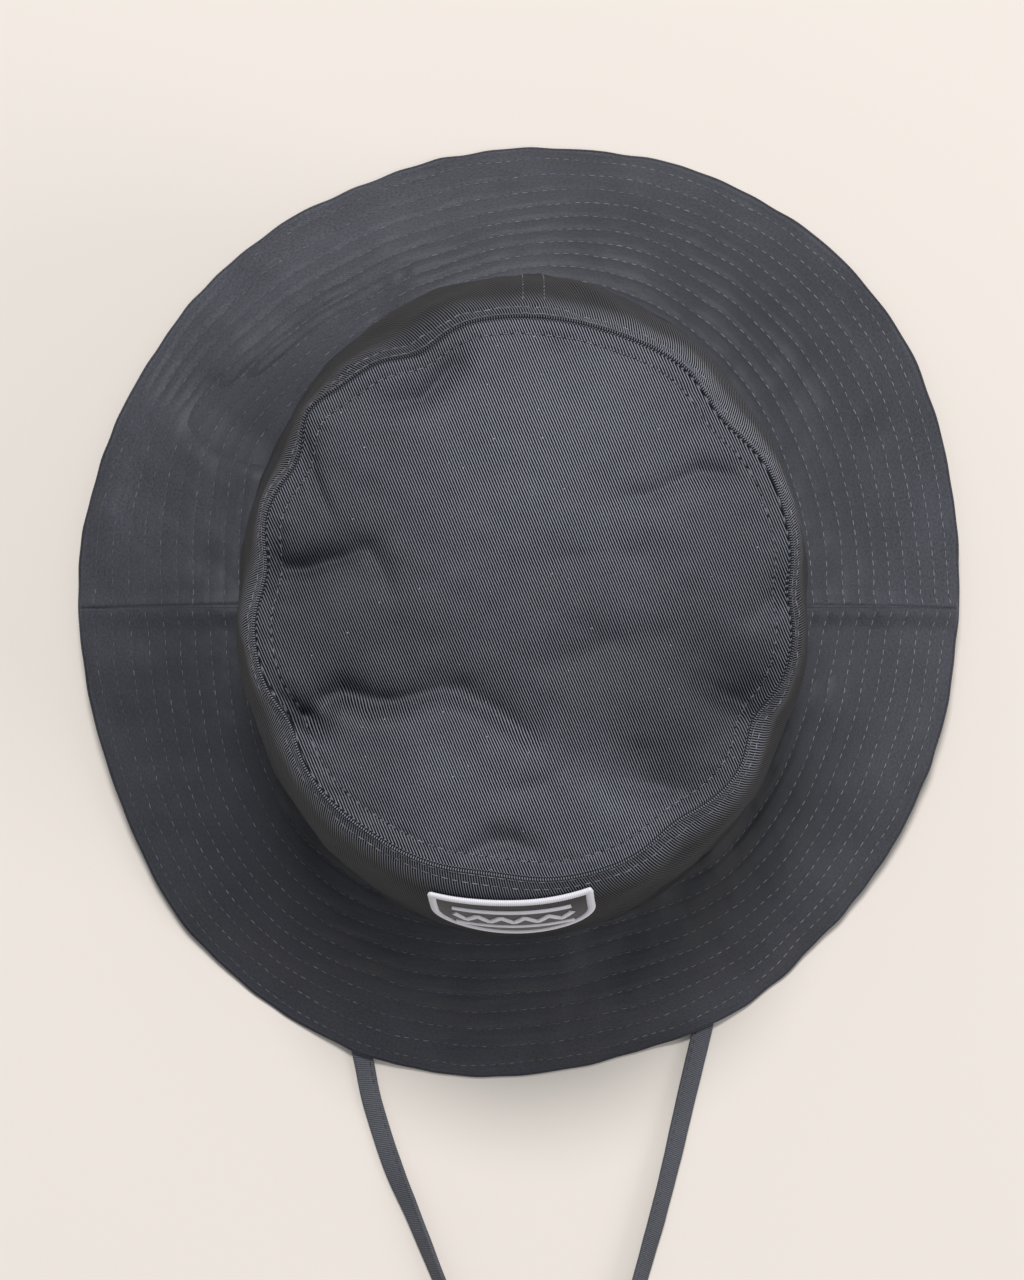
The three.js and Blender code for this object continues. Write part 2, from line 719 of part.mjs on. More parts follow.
const hat = new THREE.Group();
const shell = [
  piece('crown_tip', crownTip(), blackTwill),
  piece('crown_wall', crownWall(), blackTwill),
  piece('brim_back', brimHalf(1), brimTwill),
  piece('brim_front', brimHalf(-1), brimTwill),
];
hat.add(...shell);
hat.add(piece('patch_field', patchField(), patchBlack));
hat.add(piece('patch_border', patchBorder(), whiteThread));
hat.add(piece('patch_bar_upper', patchThread(0.24, 0), whiteThread));
hat.add(piece('patch_zigzag', patchThread(0.46, 5), whiteThread));
hat.add(piece('patch_bar_lower', patchThread(0.68, 0), whiteThread));
hat.add(piece('chin_strap', chinStrap(), strapTwill));

export default hat;
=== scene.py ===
import math

import bpy
import numpy as np
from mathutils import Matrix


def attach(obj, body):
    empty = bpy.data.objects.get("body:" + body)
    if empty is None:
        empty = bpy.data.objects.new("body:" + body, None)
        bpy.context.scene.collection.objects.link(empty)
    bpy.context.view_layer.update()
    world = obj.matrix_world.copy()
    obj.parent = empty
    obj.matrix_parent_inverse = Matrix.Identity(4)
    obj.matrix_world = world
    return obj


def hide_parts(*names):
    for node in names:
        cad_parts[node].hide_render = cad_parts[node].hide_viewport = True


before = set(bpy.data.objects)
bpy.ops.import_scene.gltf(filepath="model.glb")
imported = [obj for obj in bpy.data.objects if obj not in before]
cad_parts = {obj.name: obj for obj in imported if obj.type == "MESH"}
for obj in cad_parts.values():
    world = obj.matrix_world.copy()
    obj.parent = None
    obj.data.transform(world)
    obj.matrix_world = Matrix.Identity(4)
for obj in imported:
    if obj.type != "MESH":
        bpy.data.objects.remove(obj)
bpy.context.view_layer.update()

MM = 0.001
TAU = 2 * math.pi

# Sizes of the part
BRIM_HALF_WIDTH = 145
BRIM_HALF_LENGTH = 156.2
OPEN_HALF_WIDTH = 89
OPEN_HALF_LENGTH = 106
OPEN_SHIFT_Y = -1
SEAM_HALF_WIDTH = 81.8
SEAM_HALF_LENGTH = 84.9
SEAM_SHIFT = (1.1, -0.5)
OPEN_HEIGHT = 38
CROWN_HEIGHT = 76
SIDE_SAG = 3
SIDE_LIFT = 8
TIP_RISE = 4
TIP_HOLLOW = 0.35
SHOULDER_OUT = 7
SHOULDER_REACH = 11
WALL_CURVE = 1.6
BRIM_BOW = 2.5
TIP_CLOTH = 1.3
WALL_CLOTH = 1.3
BRIM_CLOTH = 2.2
HEM_FROM = 0.965
REST_SPAN = 0.5
SEAM_GAP = 0.4
STRAP_WIDTH = 0.0065
STRAP_THICK = 0.0016
STRAP_FLOOR = 0.0001
STRAP_UNDER = 2.6
PASS_SPREAD = 5.5
PATCH_WIDTH = 51
PATCH_HEIGHT = 28
PATCH_SIDE = 11
PATCH_DROP = 8
PATCH_AT = 267.3
PATCH_TILT = 8
PATCH_CLOTH = 0.8
BORDER_WIDTH = 2.4
BORDER_THICK = 1.5
THREAD_WIDTH = 2.2
THREAD_THICK = 0.5

# at, deep, spread, fall
RIM_TUCKS = [
    (1, 0.026, 6.6, 0.3), (30, -0.011, 12.3, 0.3), (43, 0.063, 10.2, 0.3), (48, -0.035, 14, 0.3),
    (113, 0.051, 7.2, 0.24), (140, -0.053, 6.9, 0.3), (147, 0.047, 9.5, 0.3),
    (174, 0.049, 8.4, 0.25), (208, 0.035, 6.7, 0.3), (227, -0.008, 8, 0.3),
    (263, 0.022, 10, 0.12), (304, 0.034, 7.9, 0.3), (332, 0.053, 7.1, 0.3),
]
# at, out, spread, down, tall
WALL_SWELLS = [
    (318, 0.016, 17, 0.25, 0.3), (236, 0.02, 20, 0.35, 0.3), (75, 0.02, 22, 0.4, 0.35),
    (150, -0.055, 26, 0.3, 0.35), (14, -0.025, 16, 0.6, 0.3),
]
# Creases in the top panel: how wide each is to the left and the right of its line, then the line
# as x, y and how deep it is there. x and y are shares of the seam's half width and half length
# from the panel's middle, the rest are shares of the half width.
TIP_CREASES = [
    (0.061, 0.11, [
        (-0.96, 0.177, 0.029), (-0.888, 0.112, 0.053), (-0.802, 0.113, 0.046), (-0.692, 0.138, 0.034),
        (-0.582, 0.177, 0.01),
    ]),
    (0.061, 0.086, [
        (-0.655, 0.233, 0.003), (-0.571, 0.177, 0.01), (-0.527, 0.081, 0.011), (-0.534, 0.021, 0.003),
    ]),
    (0.055, 0.037, [
        (-0.958, -0.36, 0.019), (-0.874, -0.403, 0.062), (-0.801, -0.42, 0.067), (-0.731, -0.484, 0.011),
    ]),
    (0.061, 0.061, [
        (-0.738, -0.403, 0.016), (-0.725, -0.353, 0.051), (-0.666, -0.336, 0.062),
        (-0.564, -0.37, 0.061), (-0.435, -0.364, 0.05), (-0.226, -0.314, 0.019),
    ]),
    (0.061, 0.055, [
        (-0.226, -0.332, 0.016), (-0.105, -0.392, 0.027), (0.005, -0.481, 0.021), (0.06, -0.53, 0.006),
    ]),
    (0.049, 0.055, [
        (0.298, 0.339, 0.003), (0.463, 0.367, 0.026), (0.647, 0.451, 0.032), (0.758, 0.438, 0.021),
        (0.824, 0.424, 0.003),
    ]),
    (0.073, 0.122, [
        (0.06, 0.127, 0.006), (0.188, 0.145, 0.011), (0.408, 0.159, 0.01), (0.482, 0.163, 0.002),
    ]),
    (0.098, 0.147, [
        (0.023, -0.249, 0.008), (0.28, -0.178, 0.024), (0.427, -0.135, 0.019), (0.573, -0.106, 0.006),
    ]),
    (0.098, 0.049, [
        (0.61, -0.27, 0.011), (0.737, -0.346, 0.059), (0.811, -0.378, 0.07), (0.91, -0.424, 0.019),
    ]),
    (0.11, 0.086, [
        (0.262, -0.636, 0.008), (0.37, -0.657, 0.024), (0.48, -0.671, 0.035), (0.664, -0.686, 0.014),
    ]),
    (0.073, 0.122, [
        (0.317, -0.516, 0.003), (0.425, -0.537, 0.011), (0.572, -0.53, 0.01), (0.664, -0.502, 0.002),
    ]),
    (0.043, 0.037, [
        (-0.226, -0.918, 0.01), (-0.094, -0.879, 0.029), (-0.032, -0.879, 0.024), (0.042, -0.903, 0.008),
    ]),
    (0.073, 0.073, [
        (-0.105, -0.686, 0.006), (-0.013, -0.678, 0.016), (0.078, -0.654, 0.018), (0.152, -0.597, 0.008),
    ]),
    (0.061, 0.055, [
        (-0.51, 0.687, 0.011), (-0.374, 0.708, 0.032), (-0.252, 0.836, 0.019), (-0.219, 0.896, 0.006),
    ]),
    (0.061, 0.061, [(0.83, -0.078, 0.006), (0.933, 0.014, 0.024), (0.977, 0.078, 0.016)]),
    (0.122, 0.147, [(-0.564, -0.192, 0.006), (-0.454, -0.174, 0.016), (-0.325, -0.139, 0.01)]),
]
# Finer ones, which only the cloth has.
TIP_PINCHES = [
    (0.022, 0.022, [
        (-0.835, 0.63, 0.034), (-0.8, 0.538, 0.034), (-0.778, 0.453, 0.03), (-0.748, 0.364, 0.022),
        (-0.708, 0.293, 0.006),
    ]),
    (0.043, 0.037, [(-0.617, -0.76, 0.006), (-0.562, -0.774, 0.016), (-0.518, -0.76, 0.01)]),
    (0.024, 0.024, [(0.089, 0.925, 0.006), (0.122, 0.896, 0.023), (0.163, 0.921, 0.006)]),
    (0.037, 0.037, [
        (-0.985, 0.014, 0.008), (-0.912, 0.021, 0.018), (-0.82, 0.028, 0.01), (-0.747, 0.035, 0.002),
    ]),
    (0.065, 0.022, [
        (-0.97, -0.31, 0.03), (-0.9, -0.375, 0.058), (-0.83, -0.42, 0.058), (-0.76, -0.475, 0.022),
    ]),
    (0.045, 0.02, [
        (-0.95, 0.17, 0.014), (-0.88, 0.1, 0.024), (-0.8, 0.1, 0.026), (-0.7, 0.135, 0.024),
        (-0.58, 0.17, 0.022), (-0.52, 0.1, 0.016), (-0.5, 0.02, 0.006),
    ]),
    (0.12, 0.035, [
        (-0.72, -0.33, 0.016), (-0.64, -0.325, 0.036), (-0.5, -0.35, 0.038), (-0.3, -0.31, 0.04),
        (-0.15, -0.38, 0.042), (0, -0.47, 0.03), (0.06, -0.53, 0.006),
    ]),
    (0.16, 0.08, [
        (0.6, -0.17, 0.014), (0.72, -0.24, 0.044), (0.84, -0.32, 0.052), (0.94, -0.4, 0.03),
    ]),
    (0.13, 0.07, [
        (0.262, -0.6, 0.016), (0.4, -0.64, 0.05), (0.52, -0.66, 0.056), (0.66, -0.68, 0.02),
    ]),
    (0.05, 0.03, [
        (-0.22, -0.89, 0.01), (-0.11, -0.855, 0.034), (-0.04, -0.855, 0.03), (0.04, -0.885, 0.01),
    ]),
    (0.08, 0.05, [
        (-0.5, 0.69, 0.02), (-0.38, 0.72, 0.045), (-0.27, 0.83, 0.04), (-0.22, 0.9, 0.014),
    ]),
    (0.06, 0.05, [(0.84, -0.06, 0.01), (0.93, 0.02, 0.028), (0.975, 0.09, 0.02)]),
]
# The same for the brim, in millimetres.
BRIM_CREASES = [
    (15, 6, [
        (-108.5, 63, 0.5), (-100.5, 58.8, 4.8), (-93.9, 55.4, 7.4), (-87.7, 52.8, 7.4), (-82.5, 49.6, 4),
    ]),
    (7, 5, [(92, -25, 0.8), (100, -23, 1.8), (110, -20, 0.6)]),
    (2.5, 5, [(-101.6, 53.6, -0.5), (-93.8, 50.4, -0.9), (-86.7, 47.1, -1), (-82.1, 44.5, -0.4)]),
    (8, 8, [
        (-93.0, 58.4, 0.8), (-83.3, 68.1, 2.4), (-71.0, 82.1, 2.8), (-58.1, 93.1, 2.4),
        (-45.2, 102.2, 1.8), (-35.5, 108.1, 0.8),
    ]),
    (1.6, 1.6, [(-49.7, 97.0, 0.3), (-46.1, 101.6, 0.9), (-43.9, 105.5, 0.4)]),
    (1.6, 1.6, [(-40.0, 105.5, 0.3), (-38.0, 108.4, 0.9), (-36.8, 111.3, 0.4)]),
    (5, 5, [(-108.0, 14.8, 0.3), (-101.9, 13.2, 1), (-93.1, 12.2, 0.5)]),
]
# Rows of stitching in the brim: at, then the share of the brim's width of the first, fourth,
# seventh and tenth row there.
BRIM_ROWS = np.array([
    (0, 0.12, 0.38, 0.657, 0.915), (15, 0.125, 0.397, 0.657, 0.923), (30, 0.122, 0.388, 0.644, 0.915),
    (45, 0.128, 0.39, 0.648, 0.92), (60, 0.119, 0.39, 0.657, 0.926), (75, 0.098, 0.375, 0.644, 0.926),
    (82.5, 0.064, 0.324, 0.602, 0.92), (90, 0.01, 0.273, 0.538, 0.912), (105, -0.03, 0.226, 0.512, 0.905),
    (120, 0.02, 0.265, 0.538, 0.915), (135, 0.1, 0.346, 0.615, 0.92), (142.5, 0.15, 0.405, 0.674, 0.92),
    (149.5, 0.2, 0.47, 0.71, 0.91), (155, 0.13, 0.42, 0.69, 0.91), (165, 0.09, 0.363, 0.65, 0.905),
    (180, 0.04, 0.3, 0.589, 0.9), (195, 0.05, 0.32, 0.593, 0.909), (210, 0.1, 0.388, 0.644, 0.92),
    (225, 0.115, 0.4, 0.657, 0.926), (240, 0.06, 0.376, 0.657, 0.943), (247.5, 0, 0.303, 0.619, 0.935),
    (255, -0.06, 0.26, 0.589, 0.926), (262.5, -0.11, 0.209, 0.559, 0.922), (270, -0.15, 0.171, 0.529, 0.905),
    (285, -0.14, 0.165, 0.525, 0.9), (292.5, -0.12, 0.201, 0.551, 0.91), (300, -0.05, 0.273, 0.585, 0.905),
    (307.5, 0.01, 0.333, 0.602, 0.88), (315, 0.03, 0.341, 0.606, 0.883), (330, 0.05, 0.348, 0.619, 0.901),
    (345, 0.08, 0.352, 0.636, 0.909),
])
# at, out, spread
EDGE_SWELLS = [
    (42, 0.0592, 25), (105, -0.0256, 21), (141, -0.0119, 13), (226, 0.0211, 14),
    (282, -0.0229, 19),
]
# at, before, after, deep, mid, reach
BRIM_DIPS = [
    (146, 26, 4, 0.075, 0.25, 0.33), (101, 12, 16, 0.035, 0.3, 0.3),
    (30, 14, 14, -0.04, 0.55, 0.4), (205, 14, 18, 0.04, 0.5, 0.4),
    (322, 16, 12, 0.035, 0.45, 0.4),
]
STRAP_PASSES = [250, 293]
# x, y and lift in metres, face and lean in degrees
STRAP_ROUTE = [
    (-0.0836, 0.008, 0.046, 90, 0), (-0.0836, 0.007, 0.034, 88, 0),
    (-0.0848, 0.004, 0.021, 75, 0), (-0.0885, -0.004, 0.008, 50, 0),
    (-0.091, -0.018, 0.001, 20, 0), (-0.0895, -0.036, 0, 9, 0), (-0.084, -0.056, 0, 17, 0),
    (-0.0765, -0.076, 0, 20, 0), (-0.069, -0.096, 0, 20, 0), (-0.062, -0.114, 0, 19, 0),
    (-0.056, -0.131, 0, 17, 0), (-0.0517, -0.1479, 0, 13, 0), (-0.0486, -0.1626, 0, 15, 4),
    (-0.042, -0.1832, 0, 21, 12), (-0.0357, -0.198, 0, 23, 40), (-0.0264, -0.2207, 0, 22, 55),
    (-0.018, -0.242, 0, 22, 62), (-0.012, -0.26, 0, 24, 68), (-0.004, -0.276, 0, 45, 76),
    (0.0085, -0.282, 0, 90, 80), (0.021, -0.276, 0, 135, 76), (0.0282, -0.26, 0, 158, 66),
    (0.034, -0.241, 0, 164, 54), (0.0398, -0.2207, 0, 165, 43), (0.0464, -0.197, 0, 165, 36),
    (0.0503, -0.1817, 0, 166, 28), (0.0549, -0.1621, 0, 167, 16), (0.0595, -0.1432, 0, 167, 6),
    (0.064, -0.125, 0, 166, 0), (0.0695, -0.106, 0, 164, 0), (0.0755, -0.087, 0, 162, 0),
    (0.082, -0.068, 0, 162, 0), (0.0875, -0.05, 0, 166, 0), (0.091, -0.032, 0, 174, 0),
    (0.091, -0.015, 0.001, 160, 0), (0.0885, -0.004, 0.008, 130, 0),
    (0.0848, 0.004, 0.021, 105, 0), (0.0836, 0.007, 0.034, 92, 0), (0.0836, 0.008, 0.046, 90, 0),
]


def cosd(a):
    return np.cos(np.radians(a))


def sind(a):
    return np.sin(np.radians(a))


def mix(a, b, t):
    return a + (b - a) * t


def bell(x):
    return np.exp(-x * x)


def between(a, b):
    return (a - b + 180) % 360 - 180


def oval(a, b, at):
    return a * b / np.hypot(b * cosd(at), a * sind(at))


def unit(v):
    return v / np.maximum(np.linalg.norm(v, axis=-1, keepdims=True), 1e-12)


def smooth(x):
    x = np.clip(x, 0, 1)
    return x * x * (3 - 2 * x)


def stack(x, y, z):
    return np.stack(np.broadcast_arrays(x, y, z), axis=-1).astype(float)


# Shape of the part
def open_radius(at):
    return oval(OPEN_HALF_WIDTH, OPEN_HALF_LENGTH, at)


def open_z(at):
    return OPEN_HEIGHT - SIDE_SAG * cosd(at) ** 2


def tuck(at, below):
    return -sum(
        SEAM_HALF_WIDTH * deep * np.exp(-below / fall) * bell(between(at, mid) / spread)
        for mid, deep, spread, fall in RIM_TUCKS
    )


def seam_z(at):
    waves = 1.2 * cosd(2 * at + 50) + 0.9 * cosd(3 * at - 20)
    return OPEN_HEIGHT + CROWN_HEIGHT + 0.3 * tuck(at, 0) + waves


def swell(at, below):
    return sum(
        SEAM_HALF_WIDTH * out * bell((below - down) / tall) * np.minimum(1, below / down)
        * (1 - below) * bell(between(at, mid) / spread)
        for mid, out, spread, down, tall in WALL_SWELLS
    )


def wall_point(at, below):
    seam = oval(SEAM_HALF_WIDTH, SEAM_HALF_LENGTH, at)
    roll = SHOULDER_OUT * (1 - np.exp(-below * CROWN_HEIGHT / SHOULDER_REACH))
    rest = np.clip(1 - below, 0, None)
    slope = (open_radius(at) - seam - SHOULDER_OUT) * (1 - rest ** WALL_CURVE)
    radius = seam + roll + slope + tuck(at, below) * (1 - below) + swell(at, below)
    height = mix(seam_z(at), open_z(at), np.clip(below, 0, None) ** 1.12)
    return stack(
        radius * cosd(at) + SEAM_SHIFT[0] * (1 - below),
        radius * sind(at) + OPEN_SHIFT_Y + SEAM_SHIFT[1] * (1 - below),
        height,
    )


def crease_depth(x, y, creases, across=1, along_y=1, narrow=1, least=0):
    total = 0
    for left, right, line in creases:
        deepest = np.zeros(np.shape(x))
        points = np.array(line) * [across, along_y, across]
        left, right = (max(least, side * across * narrow) for side in (left, right))
        for (x0, y0, deep0), (x1, y1, deep1) in zip(points, points[1:]):
            dx, dy = x1 - x0, y1 - y0
            length = math.hypot(dx, dy)
            along = np.clip(((x - x0) * dx + (y - y0) * dy) / length ** 2, 0, 1)
            off_x = x - x0 - along * dx
            off_y = y - y0 - along * dy
            off = np.hypot(off_x, off_y)
            side = (dx * off_y - dy * off_x) / (length * np.maximum(off, 1e-9))
            wide = (left + right) / 2 + (left - right) / 2 * side
            depth = mix(deep0, deep1, along) * bell(off / wide)
            deepest = np.where(np.abs(depth) > np.abs(deepest), depth, deepest)
        total = total + deepest
    return total


def tip_point(at, out):
    seam = oval(SEAM_HALF_WIDTH, SEAM_HALF_LENGTH, at)
    radius = out * (seam + tuck(at, 0) * out ** 3)
    x = radius * cosd(at)
    y = radius * sind(at)
    level = mix(OPEN_HEIGHT + CROWN_HEIGHT, seam_z(at), out ** 2)
    deep = crease_depth(x, y, TIP_CREASES, SEAM_HALF_WIDTH, SEAM_HALF_LENGTH)
    rise = TIP_RISE * (1 - out ** 3.5 - TIP_HOLLOW * bell(out / 0.5))
    return stack(
        x + SEAM_SHIFT[0], y + OPEN_SHIFT_Y + SEAM_SHIFT[1],
        level + rise - deep * (1 - out ** 12),
    )


def edge_radius(at):
    swells = sum(BRIM_HALF_WIDTH * o * bell(between(at, mid) / s) for mid, o, s in EDGE_SWELLS)
    return oval(BRIM_HALF_WIDTH, BRIM_HALF_LENGTH, at) + swells


def edge_z(at):
    strap = sum(bell(between(at, mid) / PASS_SPREAD) for mid in STRAP_PASSES)
    side = np.maximum(0, np.abs(cosd(at)) - REST_SPAN) / (1 - REST_SPAN)
    return BRIM_CLOTH + SIDE_LIFT * side ** 1.5 + STRAP_UNDER * strap


def dip(at, out):
    total = 0
    for mid, before, after, deep, place, reach in BRIM_DIPS:
        away = between(at, mid)
        turn = bell(away / np.where(away < 0, before, after))
        total = total + OPEN_HEIGHT * deep * turn * bell((out - place) / reach)
    return total


def brim_point(at, out):
    radius = mix(open_radius(at) - WALL_CLOTH, edge_radius(at), out)
    along = np.minimum(1, out / HEM_FROM)
    arch = 4 * BRIM_BOW * along * (1 - along)
    fade = np.clip(along / 0.1, 0, 1) * (1 - along ** 6)
    height = mix(open_z(at) - SEAM_GAP, edge_z(at), along) + arch - dip(at, out) * fade
    return stack(radius * cosd(at), radius * sind(at) + OPEN_SHIFT_Y * (1 - out), height)


def normal_at(point, u, v, du, dv):
    across = point(u + du, v) - point(u - du, v)
    down = point(u, v + dv) - point(u, v - dv)
    return unit(np.cross(across, down))


def seam_normal(at):
    return unit(stack(0.5 * cosd(at), 0.5 * sind(at), np.ones_like(np.asarray(at, float))))


# Fine relief
def ripple(points, wavelength, seed, count=10):
    rng = np.random.default_rng(seed)
    total = 0
    for _ in range(count):
        turn = unit(rng.normal(size=3))
        pace = TAU / (wavelength * rng.uniform(0.7, 1.5))
        total = total + np.sin(points @ turn * pace + rng.uniform(0, TAU))
    return total / math.sqrt(count / 2)


CORE_WIDTH = 0.36  # each crease has a sharper core, this much narrower
CORE_DEPTH = 0.42  # and this much less deep
TIP_ROW = 5.0  # the tip's stitching lies this far inside the seam
WALL_ROW = 4.6  # and the wall's this far below it, along the cloth
ROW_COUNT = 10
GROOVE_WIDTH = 0.6  # of the crown's two rows
GROOVE_DEEP = 0.4
BRIM_GROOVE_WIDTH = 0.9
LIP = 0.55  # how far the wall's edge stands up at the crown seam
LIP_ROW = 1.2
WALL_FOOT = 0.8  # how far the wall's cloth reaches down past the solid, to close the slit there
HEM_CLEAR = 0.15  # the brim's underside stays this far above the floor
# Depth and radius of the dark cord of painted shadow in the crown seam's notch.
SEAM_LINE_DEEP = 0.5
SEAM_LINE_RADIUS = 0.42
STRAP_ROW = 0.62  # the strap's stitching, as a share of its half width
STRAP_ROW_DEEP = 0.68
BACK_SEAM = 88.0
BACK_ROWS = 3.2


def brim_row(number, at):
    """The share of the brim's width at which a row of stitching lies, from 0, the inner one."""
    stops = np.concatenate([BRIM_ROWS[-2:, 0] - 360, BRIM_ROWS[:, 0], BRIM_ROWS[:2, 0] + 360])
    known = np.vstack([BRIM_ROWS[-2:, 1:], BRIM_ROWS[:, 1:], BRIM_ROWS[:2, 1:]])
    knots = [0, 3, 6, 9]
    share = sum(
        known[:, i] * math.prod((number - k) / (knots[i] - k) for k in knots if k != knots[i])
        for i in range(4)
    )
    fine = np.arange(-30, 390, 1.0)
    rough = np.interp(fine, stops, share)
    kernel = bell(np.arange(-9, 10) / 4.0)
    soft = np.convolve(np.pad(rough, 9, mode="edge"), kernel / kernel.sum(), mode="valid")
    return np.interp(at, fine, soft)


def seam_radius(at):
    return oval(SEAM_HALF_WIDTH, SEAM_HALF_LENGTH, at) + tuck(at, 0)


profile_below = np.linspace(0, 1, 400)
profile = wall_point(np.full(400, 90.0), profile_below)
profile_down = np.concatenate([[0], np.cumsum(np.linalg.norm(np.diff(profile, axis=0), axis=1))])


def wall_down(below):
    return np.interp(below, profile_below, profile_down)


def wall_below(down):
    return np.interp(down, profile_down, profile_below)


def tip_normal(at, out):
    usual = normal_at(tip_point, at, np.clip(out, 0.02, 0.995), 0.5, -0.01)
    usual = np.where(np.asarray(out)[..., None] < 0.02, [0.0, 0.0, 1.0], usual)
    blend = smooth((out - 0.97) / 0.03)[..., None]
    return unit(mix(usual, seam_normal(at), blend))


def tip_face(at, out):
    at, out = np.broadcast_arrays(np.asarray(at, float), np.asarray(out, float))
    base = tip_point(at, out)
    inward = (1 - out) * seam_radius(at)
    groove = -GROOVE_DEEP * bell((inward - TIP_ROW) / GROOVE_WIDTH)
    pucker = 0.2 * ripple(base, 5.5, 11) * bell((inward - TIP_ROW) / 3)
    lumps = 0.3 * ripple(base, 26, 12) + 0.1 * ripple(base, 9, 13)
    local = base - [SEAM_SHIFT[0], OPEN_SHIFT_Y + SEAM_SHIFT[1], 0]
    pinch = crease_depth(local[..., 0], local[..., 1], TIP_PINCHES, SEAM_HALF_WIDTH, SEAM_HALF_LENGTH)
    core = crease_depth(
        local[..., 0], local[..., 1], TIP_CREASES, SEAM_HALF_WIDTH, SEAM_HALF_LENGTH, CORE_WIDTH, 2,
    )
    broad = 1.6 * bell(np.hypot(local[..., 0] - 10, local[..., 1] - 12) / 34)
    broad = broad - 1.4 * bell((local[..., 1] + 36) / 16) * bell(local[..., 0] / 60)
    relief = groove + pucker + (lumps + broad) * smooth(inward / 6)
    sunk = (pinch + CORE_DEPTH * core) * (1 - out ** 40)
    reach = 0.05 * smooth((out - 0.96) / 0.04)
    outset = stack(cosd(at), sind(at), np.zeros_like(at)) * reach[..., None]
    outset[..., 2] = -sunk
    return base + outset + tip_normal(at, out) * relief[..., None]


def wall_normal(at, below):
    usual = normal_at(wall_point, at, np.clip(below, 0.006, 0.99), -0.5, 0.005)
    top = smooth(1 - below / 0.03)[..., None]
    level = stack(cosd(at), sind(at), np.zeros_like(np.asarray(at, float)))
    low = smooth((below - 0.96) / 0.04)[..., None]
    return unit(mix(mix(usual, seam_normal(at), top), level, low))


def patch_mask(at, below):
    sideways = between(at, PATCH_AT) / 21
    drop = (below * CROWN_HEIGHT - PATCH_DROP - PATCH_HEIGHT / 2) / (PATCH_HEIGHT * 0.72)
    return 1 - smooth(2.6 - 2 * np.maximum(np.abs(sideways), np.abs(drop)))


def wall_face(at, below):
    at, below = np.broadcast_arrays(np.asarray(at, float), np.asarray(below, float))
    base = wall_point(at, below)
    down = wall_down(below)
    lip = LIP * bell(down / LIP_ROW)
    groove = -GROOVE_DEEP * bell((down - WALL_ROW) / GROOVE_WIDTH)
    pucker = 0.2 * ripple(base, 6, 21) * bell((down - WALL_ROW) / 3)
    lumps = 0.4 * ripple(base, 26, 22) + 0.12 * ripple(base, 10, 23)
    fade = smooth(down / 8) * smooth((1 - below) / 0.1)
    away = np.abs(np.radians(between(at, BACK_SEAM)) * np.hypot(base[..., 0], base[..., 1]))
    back = 0.3 * bell((away - 2.2) / 1.6) - 0.45 * bell(away / 0.5)
    mask = patch_mask(at, below)
    back = back * smooth((1 - below) / 0.1)
    relief = lip * smooth(mask + 0.5) + groove + back + (pucker + lumps * fade) * mask
    drop = stack(0 * at, 0 * at, -WALL_FOOT * smooth((below - 0.97) / 0.03))
    return base + drop + wall_normal(at, below) * relief[..., None]


def brim_normal(at, out):
    usual = normal_at(brim_point, at, np.clip(out, 0.01, HEM_FROM - 0.011), 0.5, -0.01)
    hem = smooth((out - HEM_FROM + 0.05) / 0.05)[..., None]
    normal = mix(usual, np.array([0.0, 0.0, 1.0]), hem)
    seam = bell(sind(at) / 0.01)
    normal[..., 1] *= 1 - seam
    return unit(normal)


# How deep the stitching pulls the brim in: at, millimetres.
GROOVE_DEPTHS = [
    (0, 0.25), (40, 0.34), (70, 0.5), (105, 0.72), (135, 0.85), (147, 0.8), (150.5, 0.08), (190, 0.1),
    (220, 0.2), (255, 0.26), (300, 0.3), (335, 0.34), (360, 0.25),
]


def brim_grooves(at, out):
    width = edge_radius(at) - open_radius(at)
    return sum(bell((out - brim_row(k, at)) * width / BRIM_GROOVE_WIDTH) for k in range(ROW_COUNT))


def brim_relief(at, out, base):
    lumps = 0.3 * ripple(base, 34, 31) + 0.12 * ripple(base, 12, 32) + 0.05 * ripple(base, 4.5, 33)
    fade = smooth((1 - out) / 0.1) * smooth(out / 0.05)
    depths = np.interp(at, *np.array(GROOVE_DEPTHS).T)
    pull = depths * (1 + 0.25 * ripple(base, 40, 35)) * (1.25 - 0.7 * out)
    grooves = -pull * brim_grooves(at, out) * smooth((1 - out) / 0.04)
    creases = -crease_depth(base[..., 0], base[..., 1], BRIM_CREASES)
    away = np.abs(base[..., 1])
    sides = np.abs(cosd(at)) > 0.9
    line = 0.4 * bell(away / 0.4)
    step = np.where(base[..., 0] > 0, 2.3, 1.3)
    front = step * (1 - smooth((away - 1.6) / 6.5)) - line
    back = 0.7 * step * (1 - smooth((away - 0.6) / 4)) + 0.3 * step * (1 - smooth(away / 16)) - line
    seam = np.where(sides, np.where(at > 180.0001, front, back), 0)
    roll = -0.7 * smooth((out - 0.93) / 0.07) ** 2
    return grooves + (lumps + creases) * fade + seam * smooth((1 - out) / 0.03) + roll


# How far the brim's edge departs from the smooth outline: at, millimetres outwards.
EDGE_NUDGES = [
    (0, -0.4), (10, 0), (20, -0.2), (30, -0.15), (40, -0.7), (55, 0), (70, 0.6), (80, -0.6),
    (90, -0.3), (100, 0.3), (110, -0.3), (120, 0.2), (130, 0.8), (140, 1.5), (150, 0.7), (160, 0.6),
    (170, 1.1), (180, 0.3), (190, -0.5), (200, -0.9), (210, -1.1), (220, -0.4), (230, -0.8),
    (240, 0.8), (250, 1.3), (260, 0.8), (270, 0.3), (280, -0.4), (290, -0.8), (300, -0.7),
    (310, -3.0), (320, -2.5), (330, -1.5), (340, -1.2), (350, -0.9), (360, -0.4),
]


